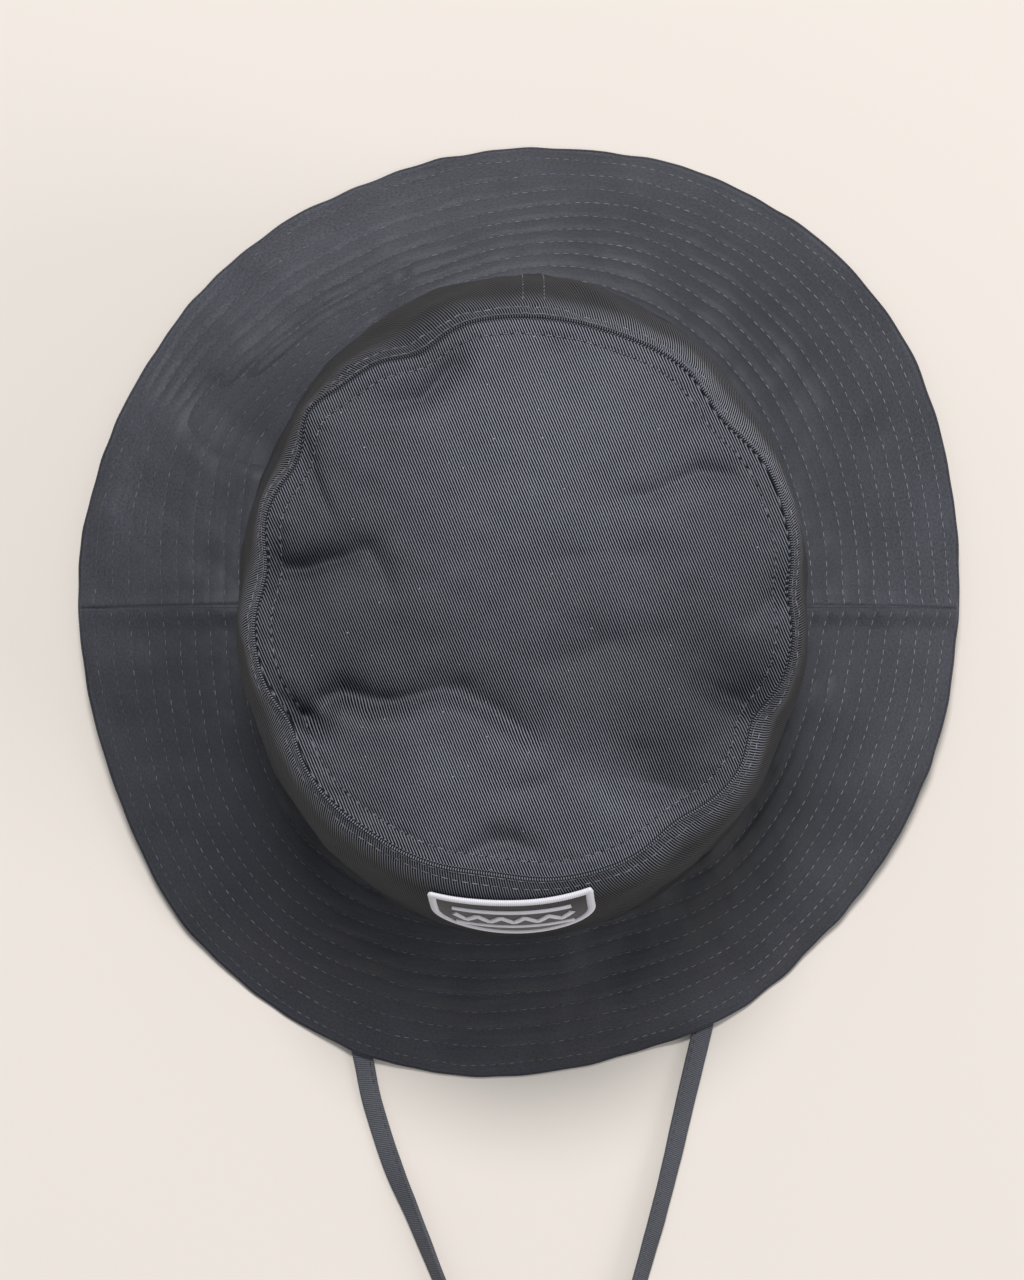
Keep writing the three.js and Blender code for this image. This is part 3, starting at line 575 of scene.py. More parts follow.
def brim_base(at, out):
    """The brim without its relief, with the small departures of its edge."""
    base = brim_point(at, out)
    wave = 0.16 * ripple(base * [1, 1, 0], 16, 34) * smooth((out - 0.9) / 0.1)
    wave = wave + np.interp(at, *np.array(EDGE_NUDGES).T) * smooth((out - 0.75) / 0.25)
    return base + stack(cosd(at), sind(at), 0 * at) * wave[..., None]


def brim_face(at, out):
    at, out = np.broadcast_arrays(np.asarray(at, float), np.asarray(out, float))
    base = brim_base(at, out)
    return base + brim_normal(at, out) * brim_relief(at, out, base)[..., None]


def brim_back(at, out):
    at, out = np.broadcast_arrays(np.asarray(at, float), np.asarray(out, float))
    base = brim_base(at, out)
    lumps = 0.3 * ripple(base, 34, 31) * smooth((1 - out) / 0.1) * smooth(out / 0.05)
    grooves = 0.15 * brim_grooves(at, out) * smooth((1 - out) / 0.04)
    rear = base + brim_normal(at, out) * (lumps + grooves - BRIM_CLOTH)[..., None]
    rear[..., 2] = np.maximum(rear[..., 2], HEM_CLEAR)
    return rear


# Meshes
def add_mesh(name, vertices, faces, uvs, material):
    mesh = bpy.data.meshes.new(name)
    mesh.from_pydata((vertices * MM).tolist(), [], faces)
    mesh.polygons.foreach_set("use_smooth", np.ones(len(mesh.polygons), bool))
    if uvs is not None:
        layer = mesh.uv_layers.new(name="UVMap")
        layer.data.foreach_set("uv", np.asarray(uvs, float).ravel())
    mesh.materials.append(material)
    mesh.update()
    obj = bpy.data.objects.new(name, mesh)
    bpy.context.scene.collection.objects.link(obj)
    return obj


def dress(piece, node=None):
    """Ties a piece to the part's one body and, when a node is given, hides the solid it stands for."""
    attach(piece, "root")
    if node:
        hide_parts(node)


def lattice(rows, uv, ring, loop, caps=False):
    """Vertices, faces and corner uvs of rows of points. ring joins each row's ends, loop joins
    the last row to the first. caps closes the two open ends of a loop."""
    count, cols = rows.shape[:2]
    index = np.arange(count * cols).reshape(count, cols)
    if ring:
        index = np.hstack([index, index[:, :1]])
    if loop:
        index = np.vstack([index, index[:1]])
        uv = np.concatenate([uv, uv[:1]], axis=0)
    corner = lambda a: np.stack([a[:-1, :-1], a[:-1, 1:], a[1:, 1:], a[1:, :-1]], axis=2)
    quads = corner(index).reshape(-1, 4)
    corner_uv = corner(uv).reshape(-1, 4, 2)
    vertices = rows.reshape(-1, 3)
    a, b, c, d = (vertices[quads[:, k]] for k in range(4))
    volume = np.einsum("ij,ij->i", a, np.cross(b, c)) + np.einsum("ij,ij->i", a, np.cross(c, d))
    faces = quads.tolist()
    uvs = corner_uv.reshape(-1, 2)
    flipped = volume.sum() < 0
    if caps:
        first = index[:-1, 0].tolist() if loop else index[:, 0].tolist()
        last = index[:-1, -1].tolist() if loop else index[:, -1].tolist()
        faces += [first, last[::-1]]
        uvs = np.concatenate([uvs, np.zeros((len(first) + len(last), 2))])
    if flipped:
        faces = [face[::-1] for face in faces]
        uvs = np.concatenate([
            corner_uv[:, ::-1].reshape(-1, 2),
            np.zeros((len(uvs) - corner_uv.size // 2, 2)),
        ])
    return vertices, faces, uvs


def cloth(
    name, us, vs, face, normal, thick, uv, material, ring=True, disc=False, every=3, shift=None,
    rear=None,
):
    """A sheet with rounded edges: its face, its outer edge, its back and its inner edge."""
    u, v = np.meshgrid(us, vs)
    front = face(u, v)
    out = normal(u, v)
    back = front - out * thick if rear is None else rear(u, v)
    if shift is not None:
        front = front + shift(u)
        back = back + shift(u)
    turns = np.linspace(0, 180, 7)

    def edge(j, k):
        along = unit(front[j] - front[k])
        n = unit(front[j] - back[j])
        half = np.linalg.norm(front[j] - back[j], axis=-1, keepdims=True) / 2
        along = unit(along - n * np.sum(along * n, axis=-1, keepdims=True))
        middle = (front[j] + back[j]) / 2 - along * half
        return [middle + half * (cosd(t) * n + sind(t) * along) for t in turns]

    outer = edge(-1, -2)
    picks = list(range(len(vs) - 2, 0, -every))
    rows = list(front[1:-1]) + outer + [back[j] for j in picks]
    marks = list(vs[1:-1]) + [vs[-1]] * len(turns) + [vs[j] for j in picks]
    if disc:
        rows = [front[0]] + rows + [back[0]]
        marks = [vs[0]] + marks + [vs[0]]
    else:
        rows = rows + edge(0, 1)[::-1]
        marks = marks + [vs[0]] * len(turns)
    rows = np.array(rows)
    wide = np.append(us, us[0] + 360) if ring else us
    grid_u, grid_v = np.meshgrid(wide, marks)
    vertices, faces, uvs = lattice(rows, uv(grid_u, grid_v), ring, not disc, caps=not ring)
    return add_mesh(name, vertices, faces, uvs, material)


def stitches(
    name, lines, material, long=2.5, gap=0.75, radius=0.2, seed=5, sides=6, start=0.5, lift=0.0,
):
    """Short raised threads along lines of (points, normals). start is where in each pitch the
    middle of a thread comes, lift how much higher than usual it lies."""
    rng = np.random.default_rng(seed)
    rings = 5
    t = np.linspace(0, 1, rings)
    phi = np.linspace(0, 360, sides, endpoint=False)
    groups = []
    for points, normals in lines:
        steps = np.linalg.norm(np.diff(points, axis=0), axis=1)
        place = np.concatenate([[0], np.cumsum(steps)])
        count = max(1, int(place[-1] / (long + gap)))
        pitch = place[-1] / count
        first = (np.arange(count) + start) * pitch - long / 2 + rng.uniform(-0.12, 0.12, count)
        size = long * rng.uniform(0.9, 1.08, count)
        at = first[:, None] + size[:, None] * t
        pick = lambda values: np.stack([np.interp(at, place, values[:, k]) for k in range(3)], -1)
        centre = pick(points)
        up = unit(pick(normals))
        heading = unit(pick(np.gradient(points, place, axis=0)))
        side = unit(np.cross(heading, up))
        bow = np.sin(np.pi * t)
        centre = centre + up * (lift + radius * (1.15 * bow - 0.75))[None, :, None]
        thick = radius * (0.45 + 0.55 * bow ** 0.5)
        ring = cosd(phi)[:, None] * side[:, :, None] + sind(phi)[:, None] * up[:, :, None]
        groups.append((centre[:, :, None] + thick[None, :, None, None] * ring).reshape(count, -1, 3))
    all_stitches = np.concatenate(groups)
    count = len(all_stitches)
    index = np.arange(rings * sides).reshape(rings, sides)
    wrap = np.hstack([index, index[:, :1]])
    quads = np.stack([wrap[:-1, :-1], wrap[:-1, 1:], wrap[1:, 1:], wrap[1:, :-1]], -1).reshape(-1, 4)
    offsets = (np.arange(count) * rings * sides)[:, None, None]
    faces = (quads + offsets).reshape(-1, 4).tolist()
    ends = np.array([index[0][::-1], index[-1]])
    faces += (ends + offsets).reshape(-1, sides).tolist()
    return add_mesh(name, all_stitches.reshape(-1, 3), faces, None, material)


# Materials
LINT = (0.45, 0.46, 0.5)


def new_material(name):
    material = bpy.data.materials.new(name)
    material.use_nodes = True
    tree = material.node_tree
    shader = tree.nodes["Principled BSDF"]
    return material, tree, shader


def math_node(tree, operation, a, b=None, clamp=False):
    node = tree.nodes.new("ShaderNodeMath")
    node.operation = operation
    node.use_clamp = clamp
    for socket, value in zip(node.inputs, (a, b)):
        if value is None:
            continue
        if isinstance(value, (int, float)):
            socket.default_value = value
        else:
            tree.links.new(value, socket)
    return node.outputs[0]


def noise_node(tree, vector, scale, detail=2.0):
    node = tree.nodes.new("ShaderNodeTexNoise")
    node.inputs["Scale"].default_value = scale
    node.inputs["Detail"].default_value = detail
    tree.links.new(vector, node.inputs["Vector"])
    return node.outputs["Fac"]


def mixed(tree, level, first, second):
    node = tree.nodes.new("ShaderNodeMix")
    node.data_type = "RGBA"
    for name, colour in (("A", first), ("B", second)):
        if isinstance(colour, tuple):
            node.inputs[name].default_value = (*colour, 1)
        else:
            tree.links.new(colour, node.inputs[name])
    tree.links.new(level, node.inputs["Factor"])
    return node.outputs["Result"]


def axis_of(tree, coord, axis):
    split = tree.nodes.new("ShaderNodeSeparateXYZ")
    tree.links.new(coord, split.inputs["Vector"])
    return split.outputs[axis]


def twill(
    name, dark, light, pitch, turn, ribs=1.0, sharp=4, grainy=0.3, wear=0.1, bump=0.3, specks=0.0,
    gloss=0.12, fade=None,
):
    """Cotton twill. dark and light are the colours between and on the ribs, pitch their distance
    in millimetres, turn their direction in degrees, ribs how much they show, sharp how narrow
    they are."""
    material, tree, shader = new_material(name)
    coord = tree.nodes.new("ShaderNodeTexCoord").outputs["UV"]
    mapping = tree.nodes.new("ShaderNodeMapping")
    mapping.inputs["Rotation"].default_value = (0, 0, math.radians(90 - turn))
    tree.links.new(coord, mapping.inputs["Vector"])
    wave = tree.nodes.new("ShaderNodeTexWave")
    wave.inputs["Scale"].default_value = TAU / (20 * pitch)
    wave.inputs["Distortion"].default_value = 0.7
    wave.inputs["Detail"].default_value = 2.0
    wave.inputs["Detail Scale"].default_value = 1.2
    tree.links.new(mapping.outputs["Vector"], wave.inputs["Vector"])
    grain = noise_node(tree, coord, 1.3, 3.0)
    patches = noise_node(tree, coord, 0.045, 3.0)
    rib = math_node(tree, "MULTIPLY", math_node(tree, "POWER", wave.outputs["Fac"], sharp), ribs)
    grains = math_node(tree, "MULTIPLY", math_node(tree, "SUBTRACT", grain, 0.5), grainy)
    wears = math_node(tree, "MULTIPLY", math_node(tree, "SUBTRACT", patches, 0.5), wear)
    level = math_node(tree, "ADD", rib, math_node(tree, "ADD", grains, 0.35 * (1 - ribs)))
    level = math_node(tree, "ADD", level, wears, clamp=True)
    # fade, where given, multiplies the paleness by painted light and shade.
    if fade is not None:
        level = math_node(tree, "MULTIPLY", level, fade(tree, coord), clamp=True)
    base = mixed(tree, level, dark, light)
    if specks:
        lint = tree.nodes.new("ShaderNodeTexVoronoi")
        lint.inputs["Scale"].default_value = 0.2
        tree.links.new(coord, lint.inputs["Vector"])
        spot = math_node(tree, "LESS_THAN", lint.outputs["Distance"], specks)
        base = mixed(tree, math_node(tree, "MULTIPLY", spot, 0.75), base, LINT)
    tree.links.new(base, shader.inputs["Base Color"])
    relief = tree.nodes.new("ShaderNodeBump")
    relief.inputs["Strength"].default_value = bump
    relief.inputs["Distance"].default_value = 0.00012
    tree.links.new(level, relief.inputs["Height"])
    tree.links.new(relief.outputs["Normal"], shader.inputs["Normal"])
    shader.inputs["Roughness"].default_value = 0.62
    shader.inputs["Specular IOR Level"].default_value = gloss
    return material


def painted_spots(tree, coord, usual, spots):
    """How pale the cloth is: usual, with more or less at spots of (u, v), reach and extra.
    The spots are painted light and shade: darker for shadow, paler for light, that the shapes and lights
    here don't give."""
    total = usual
    for u, v, reach, extra in spots:
        gap = tree.nodes.new("ShaderNodeVectorMath")
        gap.operation = "DISTANCE"
        tree.links.new(coord, gap.inputs[0])
        gap.inputs[1].default_value = (u, v, 0)
        near = math_node(tree, "MULTIPLY", gap.outputs["Value"], 1 / reach)
        near = math_node(tree, "MULTIPLY", math_node(tree, "MULTIPLY", near, near), -1)
        near = math_node(tree, "MULTIPLY", math_node(tree, "EXPONENT", near), extra)
        total = math_node(tree, "ADD", near, total)
    return total


def painted_tip_light_and_shade(tree, coord):
    """Painted light towards the back of the top panel's middle and at its front, painted shade on its
    left, its right and a little in its middle.
    """
    return painted_spots(tree, coord, 0.8, [
        (12, 48, 42, 0.55), (-12, -58, 24, 0.35), (28, -68, 16, 0.35), (-62, 2, 30, -0.22),
        (60, -28, 20, -0.25), (20, -5, 28, -0.08),
    ])


def down_fade(tree, coord, stops):
    """A share that changes with v, from one (place, share) to another."""
    down = tree.nodes.new("ShaderNodeMapRange")
    down.interpolation_type = "SMOOTHSTEP"
    tree.links.new(axis_of(tree, coord, "Y"), down.inputs["Value"])
    for end, (place, share) in zip(("Min", "Max"), stops):
        down.inputs["From " + end].default_value = place
        down.inputs["To " + end].default_value = share
    return down.outputs["Result"]


def painted_wall_light_and_shade(tree, coord):
    """Painted light where the wall rolls over to the top, most of all at the back on the right, and
    painted shade down the wall.
    """
    # Paler spots are painted light: back right, front right and front left of the shoulder. Darker spots are
    # painted shade and shadow: back left and right of the shoulder, low on the front right.
    spots = painted_spots(tree, coord, 0.95, [
        (66, 4, 42, 0.9), (190, 4, 48, -0.4), (485, 6, 24, 0.4), (5, 6, 35, -0.35), (548, 6, 35, -0.35),
        (340, 2, 55, 0.3), (484, 60, 38, -0.7),
    ])
    # Painted shade down the wall: the share falls from 1.1 at 4 mm under the seam to 0.3 from 16 mm down.
    return math_node(tree, "MULTIPLY", down_fade(tree, coord, ((4, 1.1), (16, 0.3))), spots)


def painted_brim_light_and_shade(tree, coord):
    """Paler towards the edge. Paler spots are painted light: at the back on the left, on the left,
    on the right and just behind the crown. Darker spots are painted shade and shadow: beside the crown
    at the back on the right, at the back on the left, on the left and at the front on the right, and
    at the front on the left.
    """
    spots = painted_spots(tree, coord, 0.85, [
        (255, 42, 55, 0.65), (353, 33, 24, 0.35), (106, 20, 36, -0.35), (5, 40, 36, 0.35),
        (760, 45, 45, 0.3), (688, 2, 30, -0.75), (640, 4, 34, -0.6), (468, 14, 55, -0.3),
        (405, 6, 30, -0.25), (300, 8, 30, -0.35), (198, 3, 20, 0.5), (502, 30, 40, -0.25),
    ])
    return math_node(tree, "MULTIPLY", down_fade(tree, coord, ((20, 1), (60, 1.4))), spots)


def plain(name, colour, roughness, sheen=0.0):
    material, tree, shader = new_material(name)
    shader.inputs["Base Color"].default_value = (*colour, 1)
    shader.inputs["Roughness"].default_value = roughness
    shader.inputs["Specular IOR Level"].default_value = 0.3
    shader.inputs["Sheen Weight"].default_value = sheen
    return material


def thread(name, weak, strong, towards_right):
    """Thread of uneven strength, more so towards the right-hand side of the picture."""
    material, tree, shader = new_material(name)
    place = tree.nodes.new("ShaderNodeTexCoord").outputs["Object"]
    side = math_node(tree, "MULTIPLY", axis_of(tree, place, "X"), towards_right)
    side = math_node(tree, "ADD", side, 0.4)
    worn = math_node(tree, "SUBTRACT", noise_node(tree, place, 260), 0.5)
    level = math_node(tree, "ADD", side, math_node(tree, "MULTIPLY", worn, 2.4), clamp=True)
    tree.links.new(mixed(tree, level, weak, strong), shader.inputs["Base Color"])
    shader.inputs["Roughness"].default_value = 0.7
    shader.inputs["Specular IOR Level"].default_value = 0.3
    return material


# The fade functions of these three cloths paint light and shade into their colour.
crown_twill = twill(
    "crown_twill", (0.003, 0.003, 0.004), (0.29, 0.301, 0.352), 0.78, -67, specks=0.035,
    fade=painted_tip_light_and_shade,
)
wall_twill = twill(
    "wall_twill", (0.003, 0.003, 0.004), (0.24, 0.249, 0.29), 0.78, 74, fade=painted_wall_light_and_shade,
)
brim_twill = twill(
    "brim_twill", (0.014, 0.0145, 0.02), (0.07, 0.073, 0.09), 0.6, 30, ribs=0.2, sharp=1,
    grainy=1.0, wear=0.5, gloss=0.45, fade=painted_brim_light_and_shade,
)
strap_twill = twill(
    "strap_twill", (0.02, 0.022, 0.027), (0.17, 0.175, 0.2), 0.62, 80, ribs=0.6, sharp=2,
    grainy=0.4, wear=0.3, bump=0.5, gloss=0.3,
)
crown_thread = thread("crown_thread", (0.1, 0.103, 0.12), (0.26, 0.268, 0.305), 0.0)
tip_thread = thread("tip_thread", (0.08, 0.082, 0.095), (0.24, 0.247, 0.283), 0.0)
brim_thread = thread("brim_thread", (0.075, 0.077, 0.092), (0.23, 0.237, 0.27), 3.0)
dark_thread = plain("dark_thread", (0.05, 0.052, 0.06), 0.7)
# painted_seam_shadow is painted shadow, for the cord laid in the crown seam's notch.
painted_seam_shadow = plain("painted_seam_shadow", (0.02, 0.02, 0.024), 0.9)
# painted_hole_shade is painted shade, for the dark dots in the top panel's stitch holes.
painted_hole_shade = plain("painted_hole_shade", (0.012, 0.012, 0.014), 1.0)
patch_black = plain("patch_black", (0.017, 0.016, 0.019), 0.6, 0.2)
patch_white = plain("patch_white", (0.8, 0.78, 0.83), 0.55, 0.2)

# Camera, as in the photo: 1.2 m above the floor and two degrees off straight down
camera_data = bpy.data.cameras.new("camera")
camera_data.lens = 101.64
camera_data.sensor_width = 36
camera = bpy.data.objects.new("camera", camera_data)
camera.location = (-0.0024, -0.0520, 1.1993)
camera.rotation_euler = (math.radians(2), 0, 0)
bpy.context.scene.collection.objects.link(camera)
bpy.context.scene.camera = camera


# Chin strap, in metres
def strap_stops(count):
    rows = np.array(STRAP_ROUTE, float)
    rest = STRAP_FLOOR + STRAP_WIDTH / 2 * sind(rows[:, 4]) + STRAP_THICK / 2 * cosd(rows[:, 4])
    points = np.column_stack([rows[:, 0], rows[:, 1], rest + rows[:, 2]])
    ghost = np.vstack([2 * points[0] - points[1], points, 2 * points[-1] - points[-2]])
    place = np.linspace(0, 1, count) * (len(points) - 1)
    i = np.minimum(place.astype(int), len(points) - 2)
    t = (place - i)[:, None]
    p0, p1, p2, p3 = ghost[i], ghost[i + 1], ghost[i + 2], ghost[i + 3]
    m1, m2 = (p2 - p0) / 2, (p3 - p1) / 2
    centre = (
        (2 * t ** 3 - 3 * t ** 2 + 1) * p1 + (t ** 3 - 2 * t ** 2 + t) * m1
        + (3 * t ** 2 - 2 * t ** 3) * p2 + (t ** 3 - t ** 2) * m2
    )
    heading = unit(
        (6 * t ** 2 - 6 * t) * (p1 - p2) + (3 * t ** 2 - 4 * t + 1) * m1 + (3 * t ** 2 - 2 * t) * m2
    )
    face = mix(rows[i, 3], rows[i + 1, 3], t[:, 0])
    lean = mix(rows[i, 4], rows[i + 1, 4], t[:, 0])
    width = stack(cosd(face) * cosd(lean), sind(face) * cosd(lean), sind(lean))
    across = unit(width - heading * np.sum(width * heading, axis=1, keepdims=True))
    return centre, across, np.cross(heading, across)


centre, across, up = strap_stops(420)
run = np.concatenate([[0], np.cumsum(np.linalg.norm(np.diff(centre, axis=0), axis=1))])
section = []
edge_round = STRAP_THICK / 2
for side in (1, -1):
    for share in np.linspace(-0.86, 0.86, 9) * side:
        thin = 1 - 0.22 * bell((share - STRAP_ROW) / 0.1) - 0.12 * bell((share + STRAP_ROW) / 0.1)
        section.append((share * STRAP_WIDTH / 2, side * edge_round * thin))
    for turn in (60, 30, 0, -30, -60):
        section.append((
            side * (STRAP_WIDTH / 2 - edge_round * 0.55 * (1 - cosd(turn))),
            side * edge_round * sind(turn) * 0.95,
        ))
section = np.array(section)
rows = (
    centre[None] + section[:, 0][:, None, None] * across[None]
    + section[:, 1][:, None, None] * up[None]
)
rows = rows.transpose(1, 0, 2) / MM
wobble = ripple(rows, 14, 41) * 0.08
rows = rows + up[:, None] * wobble[..., None]
rows[..., 2] = np.maximum(rows[..., 2], 0.02)
girth = np.concatenate([section[:, 0], section[:1, 0]]) / MM
strap_uv = np.stack(np.meshgrid(girth, run / MM), axis=-1)[..., ::-1]
vertices, faces, uvs = lattice(rows, strap_uv, True, False)
sides = len(section)
faces += [list(range(sides)), list(range(len(vertices) - sides, len(vertices)))[::-1]]
uvs = np.concatenate([uvs, np.zeros((2 * sides, 2))])
strap = add_mesh("strap_cloth", vertices, faces, uvs, strap_twill)
dress(strap, "chin_strap")
lines = []
for face_side in (1, -1):
    place = STRAP_ROW * STRAP_WIDTH / 2
    points = centre + across * place + up * face_side * edge_round * STRAP_ROW_DEEP
    lines.append((points / MM, up * face_side))
strap_row = stitches("strap_stitches", lines, dark_thread, long=2.2, gap=0.8, radius=0.2)
dress(strap_row)

# Crown
around = np.linspace(0, 360, 460, endpoint=False)
outs = 1 - (1 - np.linspace(0, 1, 84)) ** 1.2
tip = cloth(
    "tip_cloth", around, outs, tip_face, tip_normal, TIP_CLOTH,
    lambda at, out: tip_point(at, out)[..., :2], crown_twill, disc=True,
)
dress(tip, "crown_tip")

belows = np.linspace(0, 1, 56) ** 1.35
wall = cloth(
    "wall_cloth", around, belows, wall_face, wall_normal, WALL_CLOTH,
    lambda at, below: np.stack([np.radians(at) * 88, wall_down(below)], axis=-1), wall_twill,
)
dress(wall, "crown_wall")

# Brim
for name, node, start, side in (
    ("brim_back_cloth", "brim_back", 0, 1), ("brim_front_cloth", "brim_front", 180, -1),
):
    beside = [0, 0.1, 0.2, 0.3, 0.45, 0.65, 0.95]
    around = start + np.concatenate([beside, np.linspace(1.4, 178.6, 233), 180 - np.array(beside)[::-1]])
    outs = np.linspace(0, 1, 104)

    def shift(at, side=side):
        gap = np.where(np.abs(sind(at)) < 1e-6, side * 0.02, 0)
        return stack(np.zeros_like(at), gap, np.zeros_like(at))

    half = cloth(
        name, around, outs, brim_face, brim_normal, BRIM_CLOTH,
        lambda at, out: np.stack([np.radians(at) * 122, out * 60], axis=-1), brim_twill,
        ring=False, every=2, shift=shift, rear=brim_back,
    )
    dress(half, node)

# Stitching
around = np.linspace(0, 360, 1441)
inward = 1 - TIP_ROW / seam_radius(around)
tip_lines = [(tip_face(around, inward), tip_normal(around, inward))]
row = np.full_like(around, wall_below(WALL_ROW))
wall_lines = [(wall_face(around, row), wall_normal(around, row))]
# A dark cord laid along the crown seam's notch: painted shadow of the seam's groove.
seam_middle = wall_point(around, 0 * around) - seam_normal(around) * SEAM_LINE_DEEP
seam_heading = unit(np.roll(seam_middle[:-1], -1, axis=0) - np.roll(seam_middle[:-1], 1, axis=0))
seam_up = seam_normal(around[:-1])
seam_side = unit(np.cross(seam_heading, seam_up))
turns = np.linspace(0, 360, 8, endpoint=False)
tube = cosd(turns)[:, None] * seam_side[:, None] + sind(turns)[:, None] * seam_up[:, None]
vertices, faces, uvs = lattice(
    seam_middle[:-1, None] + SEAM_LINE_RADIUS * tube, np.zeros((len(seam_up), 9, 2)), True, True,
)
seam_line = add_mesh("crown_seam_painted_shadow", vertices, faces, uvs, painted_seam_shadow)
dress(seam_line)
belows = np.linspace(0.1, 0.9, 160)
back_lines = []
for side in (1, -1):
    spread = np.degrees(BACK_ROWS / np.hypot(*wall_point(np.full(160, BACK_SEAM), belows)[:, :2].T))
    beside = BACK_SEAM + side * spread
    back_lines.append((wall_face(beside, belows), wall_normal(beside, belows)))
# A thin pale line of thread colour along the top of the wall's lip: painted highlight of the lip.
row = np.full_like(around, wall_below(LIP_ROW))
lip_highlight_lines = [(wall_face(around, row), wall_normal(around, row))]
for name, lines, material, sizes in (
    ("tip_stitches", tip_lines, tip_thread, dict(long=2.3, gap=0.9, radius=0.15, lift=0.16)),
    # tip_stitch_hole_shade: dark dots of painted shade in the stitch holes.
    ("tip_stitch_hole_shade", tip_lines, painted_hole_shade, dict(long=1.0, gap=2.2, radius=0.15, start=1.0, lift=0.1)),
    ("wall_stitches", wall_lines, crown_thread, dict(long=2.5, gap=0.6, radius=0.16, lift=0.18)),
    ("back_seam_stitches", back_lines, tip_thread, dict(long=2.3, gap=0.9, radius=0.13, lift=0.05)),
    # crown_seam_painted_highlight: the lip's painted highlight.
    ("crown_seam_painted_highlight", lip_highlight_lines, crown_thread, dict(long=2.9, gap=0.15, radius=0.13, lift=0.08)),
):
    thread_row = stitches(name, lines, material, **sizes)
    dress(thread_row)

for name, start in (("brim_back_stitches", 0), ("brim_front_stitches", 180)):
    lines = []
    around = np.linspace(start + 0.3, start + 179.7, 721)
    for k in range(ROW_COUNT):
        row = brim_row(k, around)
        for part in np.split(np.arange(len(around)), np.where(np.diff((row > 0.025).astype(int)))[0] + 1):
            if len(part) < 12 or row[part[0]] <= 0.025:
                continue
            normal = brim_normal(around[part], row[part])
            lines.append((brim_face(around[part], row[part]), normal))
            lines.append((brim_back(around[part], row[part]), -normal))
    brim_rows = stitches(name, lines, brim_thread, long=2.3, gap=0.9, radius=0.15, seed=7)
    dress(brim_rows)


# Patch
def on_wall(right, down, out):
    right, down = np.broadcast_arrays(np.asarray(right, float), np.asarray(down, float))
    across = right * cosd(PATCH_TILT) + down * sind(PATCH_TILT)
    drop = down * cosd(PATCH_TILT) - right * sind(PATCH_TILT)
    below = (PATCH_DROP + drop) / CROWN_HEIGHT
    middle = wall_point(np.full_like(below, PATCH_AT), below)
    at = PATCH_AT + np.degrees(across / np.hypot(middle[..., 0], middle[..., 1]))
    normal = normal_at(wall_point, at, below, -0.5, 0.005)
    return wall_point(at, below) + normal * np.asarray(out)[..., None], normal


def patch_reach(share, inset):
    return PATCH_SIDE + (PATCH_HEIGHT - PATCH_SIDE - inset) * np.sqrt(np.maximum(0, 1 - share ** 2))


def swept(name, points, section_at, material, closed):
    """A section carried along points on the patch. section_at(run) gives (across, up) rows."""
    steps = np.linalg.norm(np.diff(points, axis=0), axis=1)
    place = np.concatenate([[0], np.cumsum(steps)])
    count = int(place[-1] / 0.14)
    at = np.linspace(0, place[-1], count, endpoint=not closed)
    right, down = (np.interp(at, place, points[:, k]) for k in range(2))
    middle, normal = on_wall(right, down, np.zeros_like(right))
    if closed:
        heading = np.roll(middle, -1, axis=0) - np.roll(middle, 1, axis=0)
    else:
        heading = np.gradient(middle, axis=0)
    side = unit(np.cross(normal, heading))
    side_by, up_by = section_at(at)
    rows = middle[:, None] + side_by[..., None] * side[:, None] + up_by[..., None] * normal[:, None]
    uv = np.zeros((rows.shape[0], rows.shape[1] + 1, 2))
    vertices, faces, uvs = lattice(rows, uv, True, closed)
    if not closed:
        sides = rows.shape[1]
        faces += [list(range(sides)), list(range(len(vertices) - sides, len(vertices)))[::-1]]
        uvs = np.concatenate([uvs, np.zeros((2 * sides, 2))])
    return add_mesh(name, vertices, faces, uvs, material)


def outline(inset):
    half = PATCH_WIDTH / 2 - inset
    top = [(x, inset) for x in np.linspace(-half, half, 40)]
    right = [(half, y) for y in np.linspace(inset, PATCH_SIDE, 12)[1:-1]]
    turns = np.linspace(90, -90, 80)
    bottom = [(sind(t) * half, float(patch_reach(sind(t), inset))) for t in turns]
    left = [(-half, y) for y in np.linspace(PATCH_SIDE, inset, 12)[1:]]
    return np.array(top + right + bottom + left)


phi = np.linspace(0, 360, 14, endpoint=False)


def border_section(at):
    rib = 1 + 0.07 * np.sin(TAU * at / 0.62)[:, None]
    side_by = BORDER_WIDTH / 2 * cosd(phi)[None] * rib
    up_by = SEAM_GAP + BORDER_THICK / 2 + BORDER_THICK / 2 * sind(phi)[None] * rib
    return side_by, up_by


def thread_section(at):
    rib = 1 + 0.1 * np.sin(TAU * at / 0.45)[:, None]
    side_by = THREAD_WIDTH / 2 * cosd(phi)[None] * rib
    up_by = SEAM_GAP + PATCH_CLOTH + 0.05 + THREAD_THICK * np.maximum(-0.3, sind(phi))[None] * rib
    return side_by, up_by


border = swept("patch_edge", outline(BORDER_WIDTH / 2), border_section, patch_white, True)
dress(border, "patch_border")

half = PATCH_WIDTH / 2 - 3 * BORDER_WIDTH
for name, node, level, peaks in (
    ("patch_upper", "patch_bar_upper", 0.24, 0), ("patch_waves", "patch_zigzag", 0.46, 5),
    ("patch_lower", "patch_bar_lower", 0.68, 0),
):
    count = peaks * 2 if peaks else 12
    wave = PATCH_HEIGHT * 0.07 if peaks else 0
    points = np.array([
        (half * (2 * i / count - 1), level * PATCH_HEIGHT + (wave if i % 2 else -wave))
        for i in range(count + 1)
    ])
    motif = swept(name, points, thread_section, patch_white, False)
    dress(motif, node)

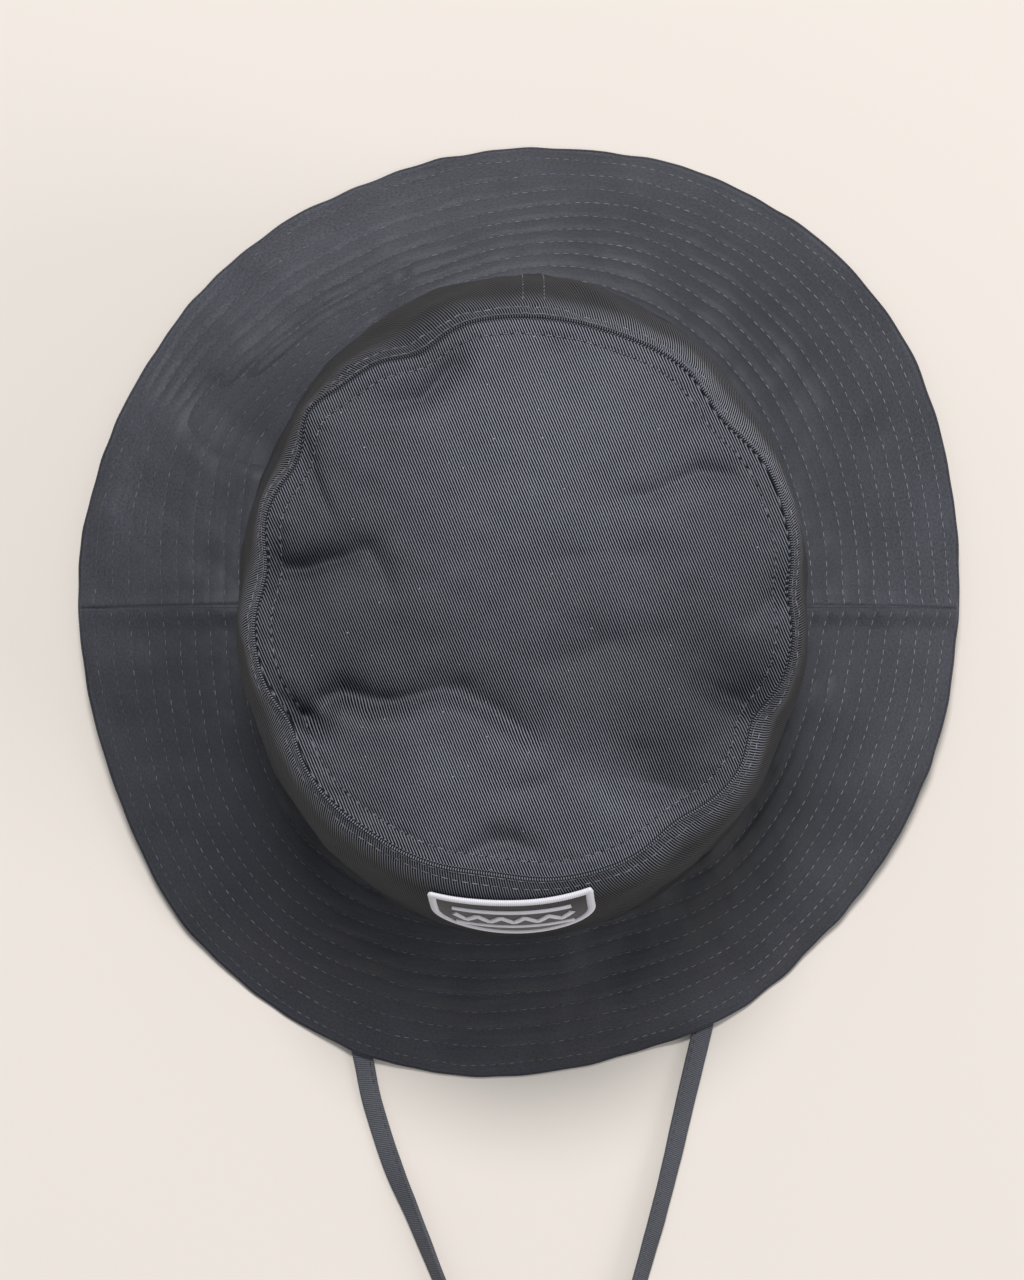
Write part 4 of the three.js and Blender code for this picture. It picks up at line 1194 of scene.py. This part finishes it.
inset = BORDER_WIDTH * 0.6
half = PATCH_WIDTH / 2 - inset


def field_face(turn, down):
    share = sind(turn)
    reach = mix(inset, patch_reach(share, inset), down)
    return on_wall(share * half, reach, SEAM_GAP + PATCH_CLOTH + 0 * reach)[0]


def field_normal(turn, down):
    share = sind(turn)
    reach = mix(inset, patch_reach(share, inset), down)
    return on_wall(share * half, reach, 0 * reach)[1]


field = cloth(
    "patch_ground", np.linspace(-88, 88, 90), np.linspace(0, 1, 50), field_face, field_normal,
    PATCH_CLOTH, lambda u, v: np.stack([sind(u) * half, v * PATCH_HEIGHT], axis=-1), patch_black,
    ring=False,
)
dress(field, "patch_field")

# Floor and light
floor_material = plain("pale_floor", (0.79, 0.725, 0.66), 0.9)
floor_mesh = bpy.data.meshes.new("floor")
floor_mesh.from_pydata([(-3, -3, 0), (3, -3, 0), (3, 3, 0), (-3, 3, 0)], [], [(0, 1, 2, 3)])
floor_mesh.materials.append(floor_material)
floor = bpy.data.objects.new("floor", floor_mesh)
bpy.context.scene.collection.objects.link(floor)


def area_light(name, location, size, power, colour):
    data = bpy.data.lights.new(name, "AREA")
    data.shape = "DISK"
    data.size = size
    data.energy = power
    data.color = colour
    lamp = bpy.data.objects.new(name, data)
    lamp.location = location
    aim = np.array([0, 0, 0.05]) - np.array(location)
    lamp.rotation_euler = (
        math.atan2(math.hypot(aim[0], aim[1]), -aim[2]), 0, math.atan2(aim[1], aim[0]) - math.pi / 2,
    )
    bpy.context.scene.collection.objects.link(lamp)
    return lamp


area_light("key", (-0.08, 2.55, 4.2), 1.6, 203, (1.0, 1.0, 1.0))
area_light("fill", (2.5, -0.9, 1.5), 1.4, 21, (1.0, 1.0, 1.0))
world = bpy.data.worlds.new("world")
world.use_nodes = True
world.node_tree.nodes["Background"].inputs["Color"].default_value = (0.92, 0.95, 1.0, 1)
world.node_tree.nodes["Background"].inputs["Strength"].default_value = 0.34
bpy.context.scene.world = world
bpy.context.scene.view_settings.view_transform = "Standard"
